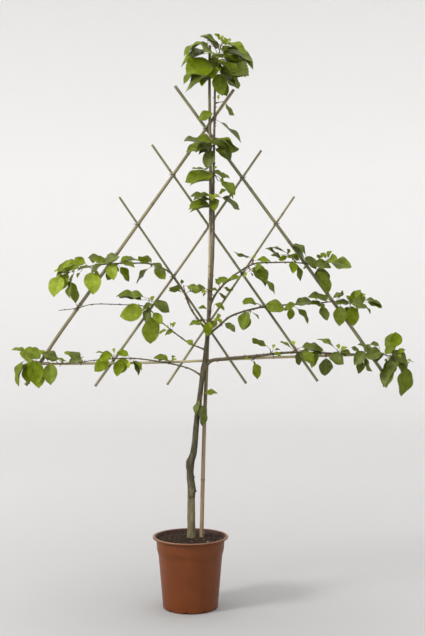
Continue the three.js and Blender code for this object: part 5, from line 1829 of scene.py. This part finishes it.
def make_camera():
    lens = bpy.data.cameras.new("camera")
    lens.lens = CAMERA_LENS
    lens.sensor_width = CAMERA_SIDE
    lens.clip_end = CAMERA_REACH
    camera = put_in_scene("camera", lens)
    camera.location = CAMERA_PLACE
    camera.rotation_euler = (math.pi / 2, 0, 0)
    bpy.context.scene.camera = camera


# The whole scene

make_camera()
make_light()
make_stage()
sprays = grow()
make_pot()
make_compost()
make_canes()
old_bark = surface("bark_old", [(72, 67, 48), (124, 115, 86)], (9, 9, 44), 0.8, bump=0.4, gloss=0.25)
dark_bark = surface("bark_dark", [(46, 43, 30), (86, 80, 60)], (8, 8, 36), 0.8, bump=0.4, gloss=0.25)
brown_bark = surface("bark_brown", [(66, 57, 40), (104, 91, 68)], (8, 8, 50), 0.7, bump=0.35, gloss=0.3)
young_bark = surface("bark_young", [(62, 56, 38), (102, 92, 64)], (10, 10, 10), 0.6, bump=0.35, gloss=0.35)
cut_wood = surface("cut_wood", [(50, 40, 28), (76, 64, 46)], (5, 5, 5), 0.85, bump=0.5)
make_trunk([old_bark, cut_wood, dark_bark, brown_bark])
for bough_name in BOUGHS:
    make_bough(bough_name, [young_bark])
make_lenticels(surface("lenticel", [(118, 106, 80), (146, 132, 104)], (3, 3, 3), 0.8, bump=0.3))
make_ties(surface("tie_wire", [(26, 24, 22), (40, 37, 33)], (4, 4, 4), 0.45, bump=0.1))
leaves, holders, stalks, twigs, buds = make_foliage(sprays)
rib = surface("leaf_rib", [(100, 114, 40), (112, 124, 50)], (20, 20, 20), 0.5, bump=0.1)
underside = surface("leaf_underside", [(98, 108, 62), (110, 120, 74)], (12, 12, 12), 0.65,
                    bump=0.25, fine=0.1)
for tone, (colours, gloss) in TONES.items():
    upper = surface("leaf_" + tone, colours, (14, 14, 14), 0.55, bump=0.2, fine=0.08, gloss=gloss)
    piece("leaves_" + tone + "_green", leaves[tone], [upper, underside, rib], sorted(holders[tone]))
stalk_green = surface("stalk", [(96, 98, 40), (122, 90, 52)], (8, 8, 8), 0.5, bump=0.1)
gland = surface("gland", [(128, 60, 40), (150, 76, 52)], (2, 2, 2), 0.4, bump=0.1)
piece("leaf_stalks", stalks, [stalk_green, gland], ())
twig_bark = surface("twig_bark", [(80, 64, 42), (104, 84, 56)], (6, 6, 6), 0.55, bump=0.3)
piece("twigs", twigs, [twig_bark], ())
bud_scales = surface("bud_scales", [(74, 50, 32), (98, 70, 44)], (2, 2, 2), 0.5, bump=0.3)
piece("buds", buds, [bud_scales], ())

bpy.context.scene.view_settings.view_transform = "Standard"
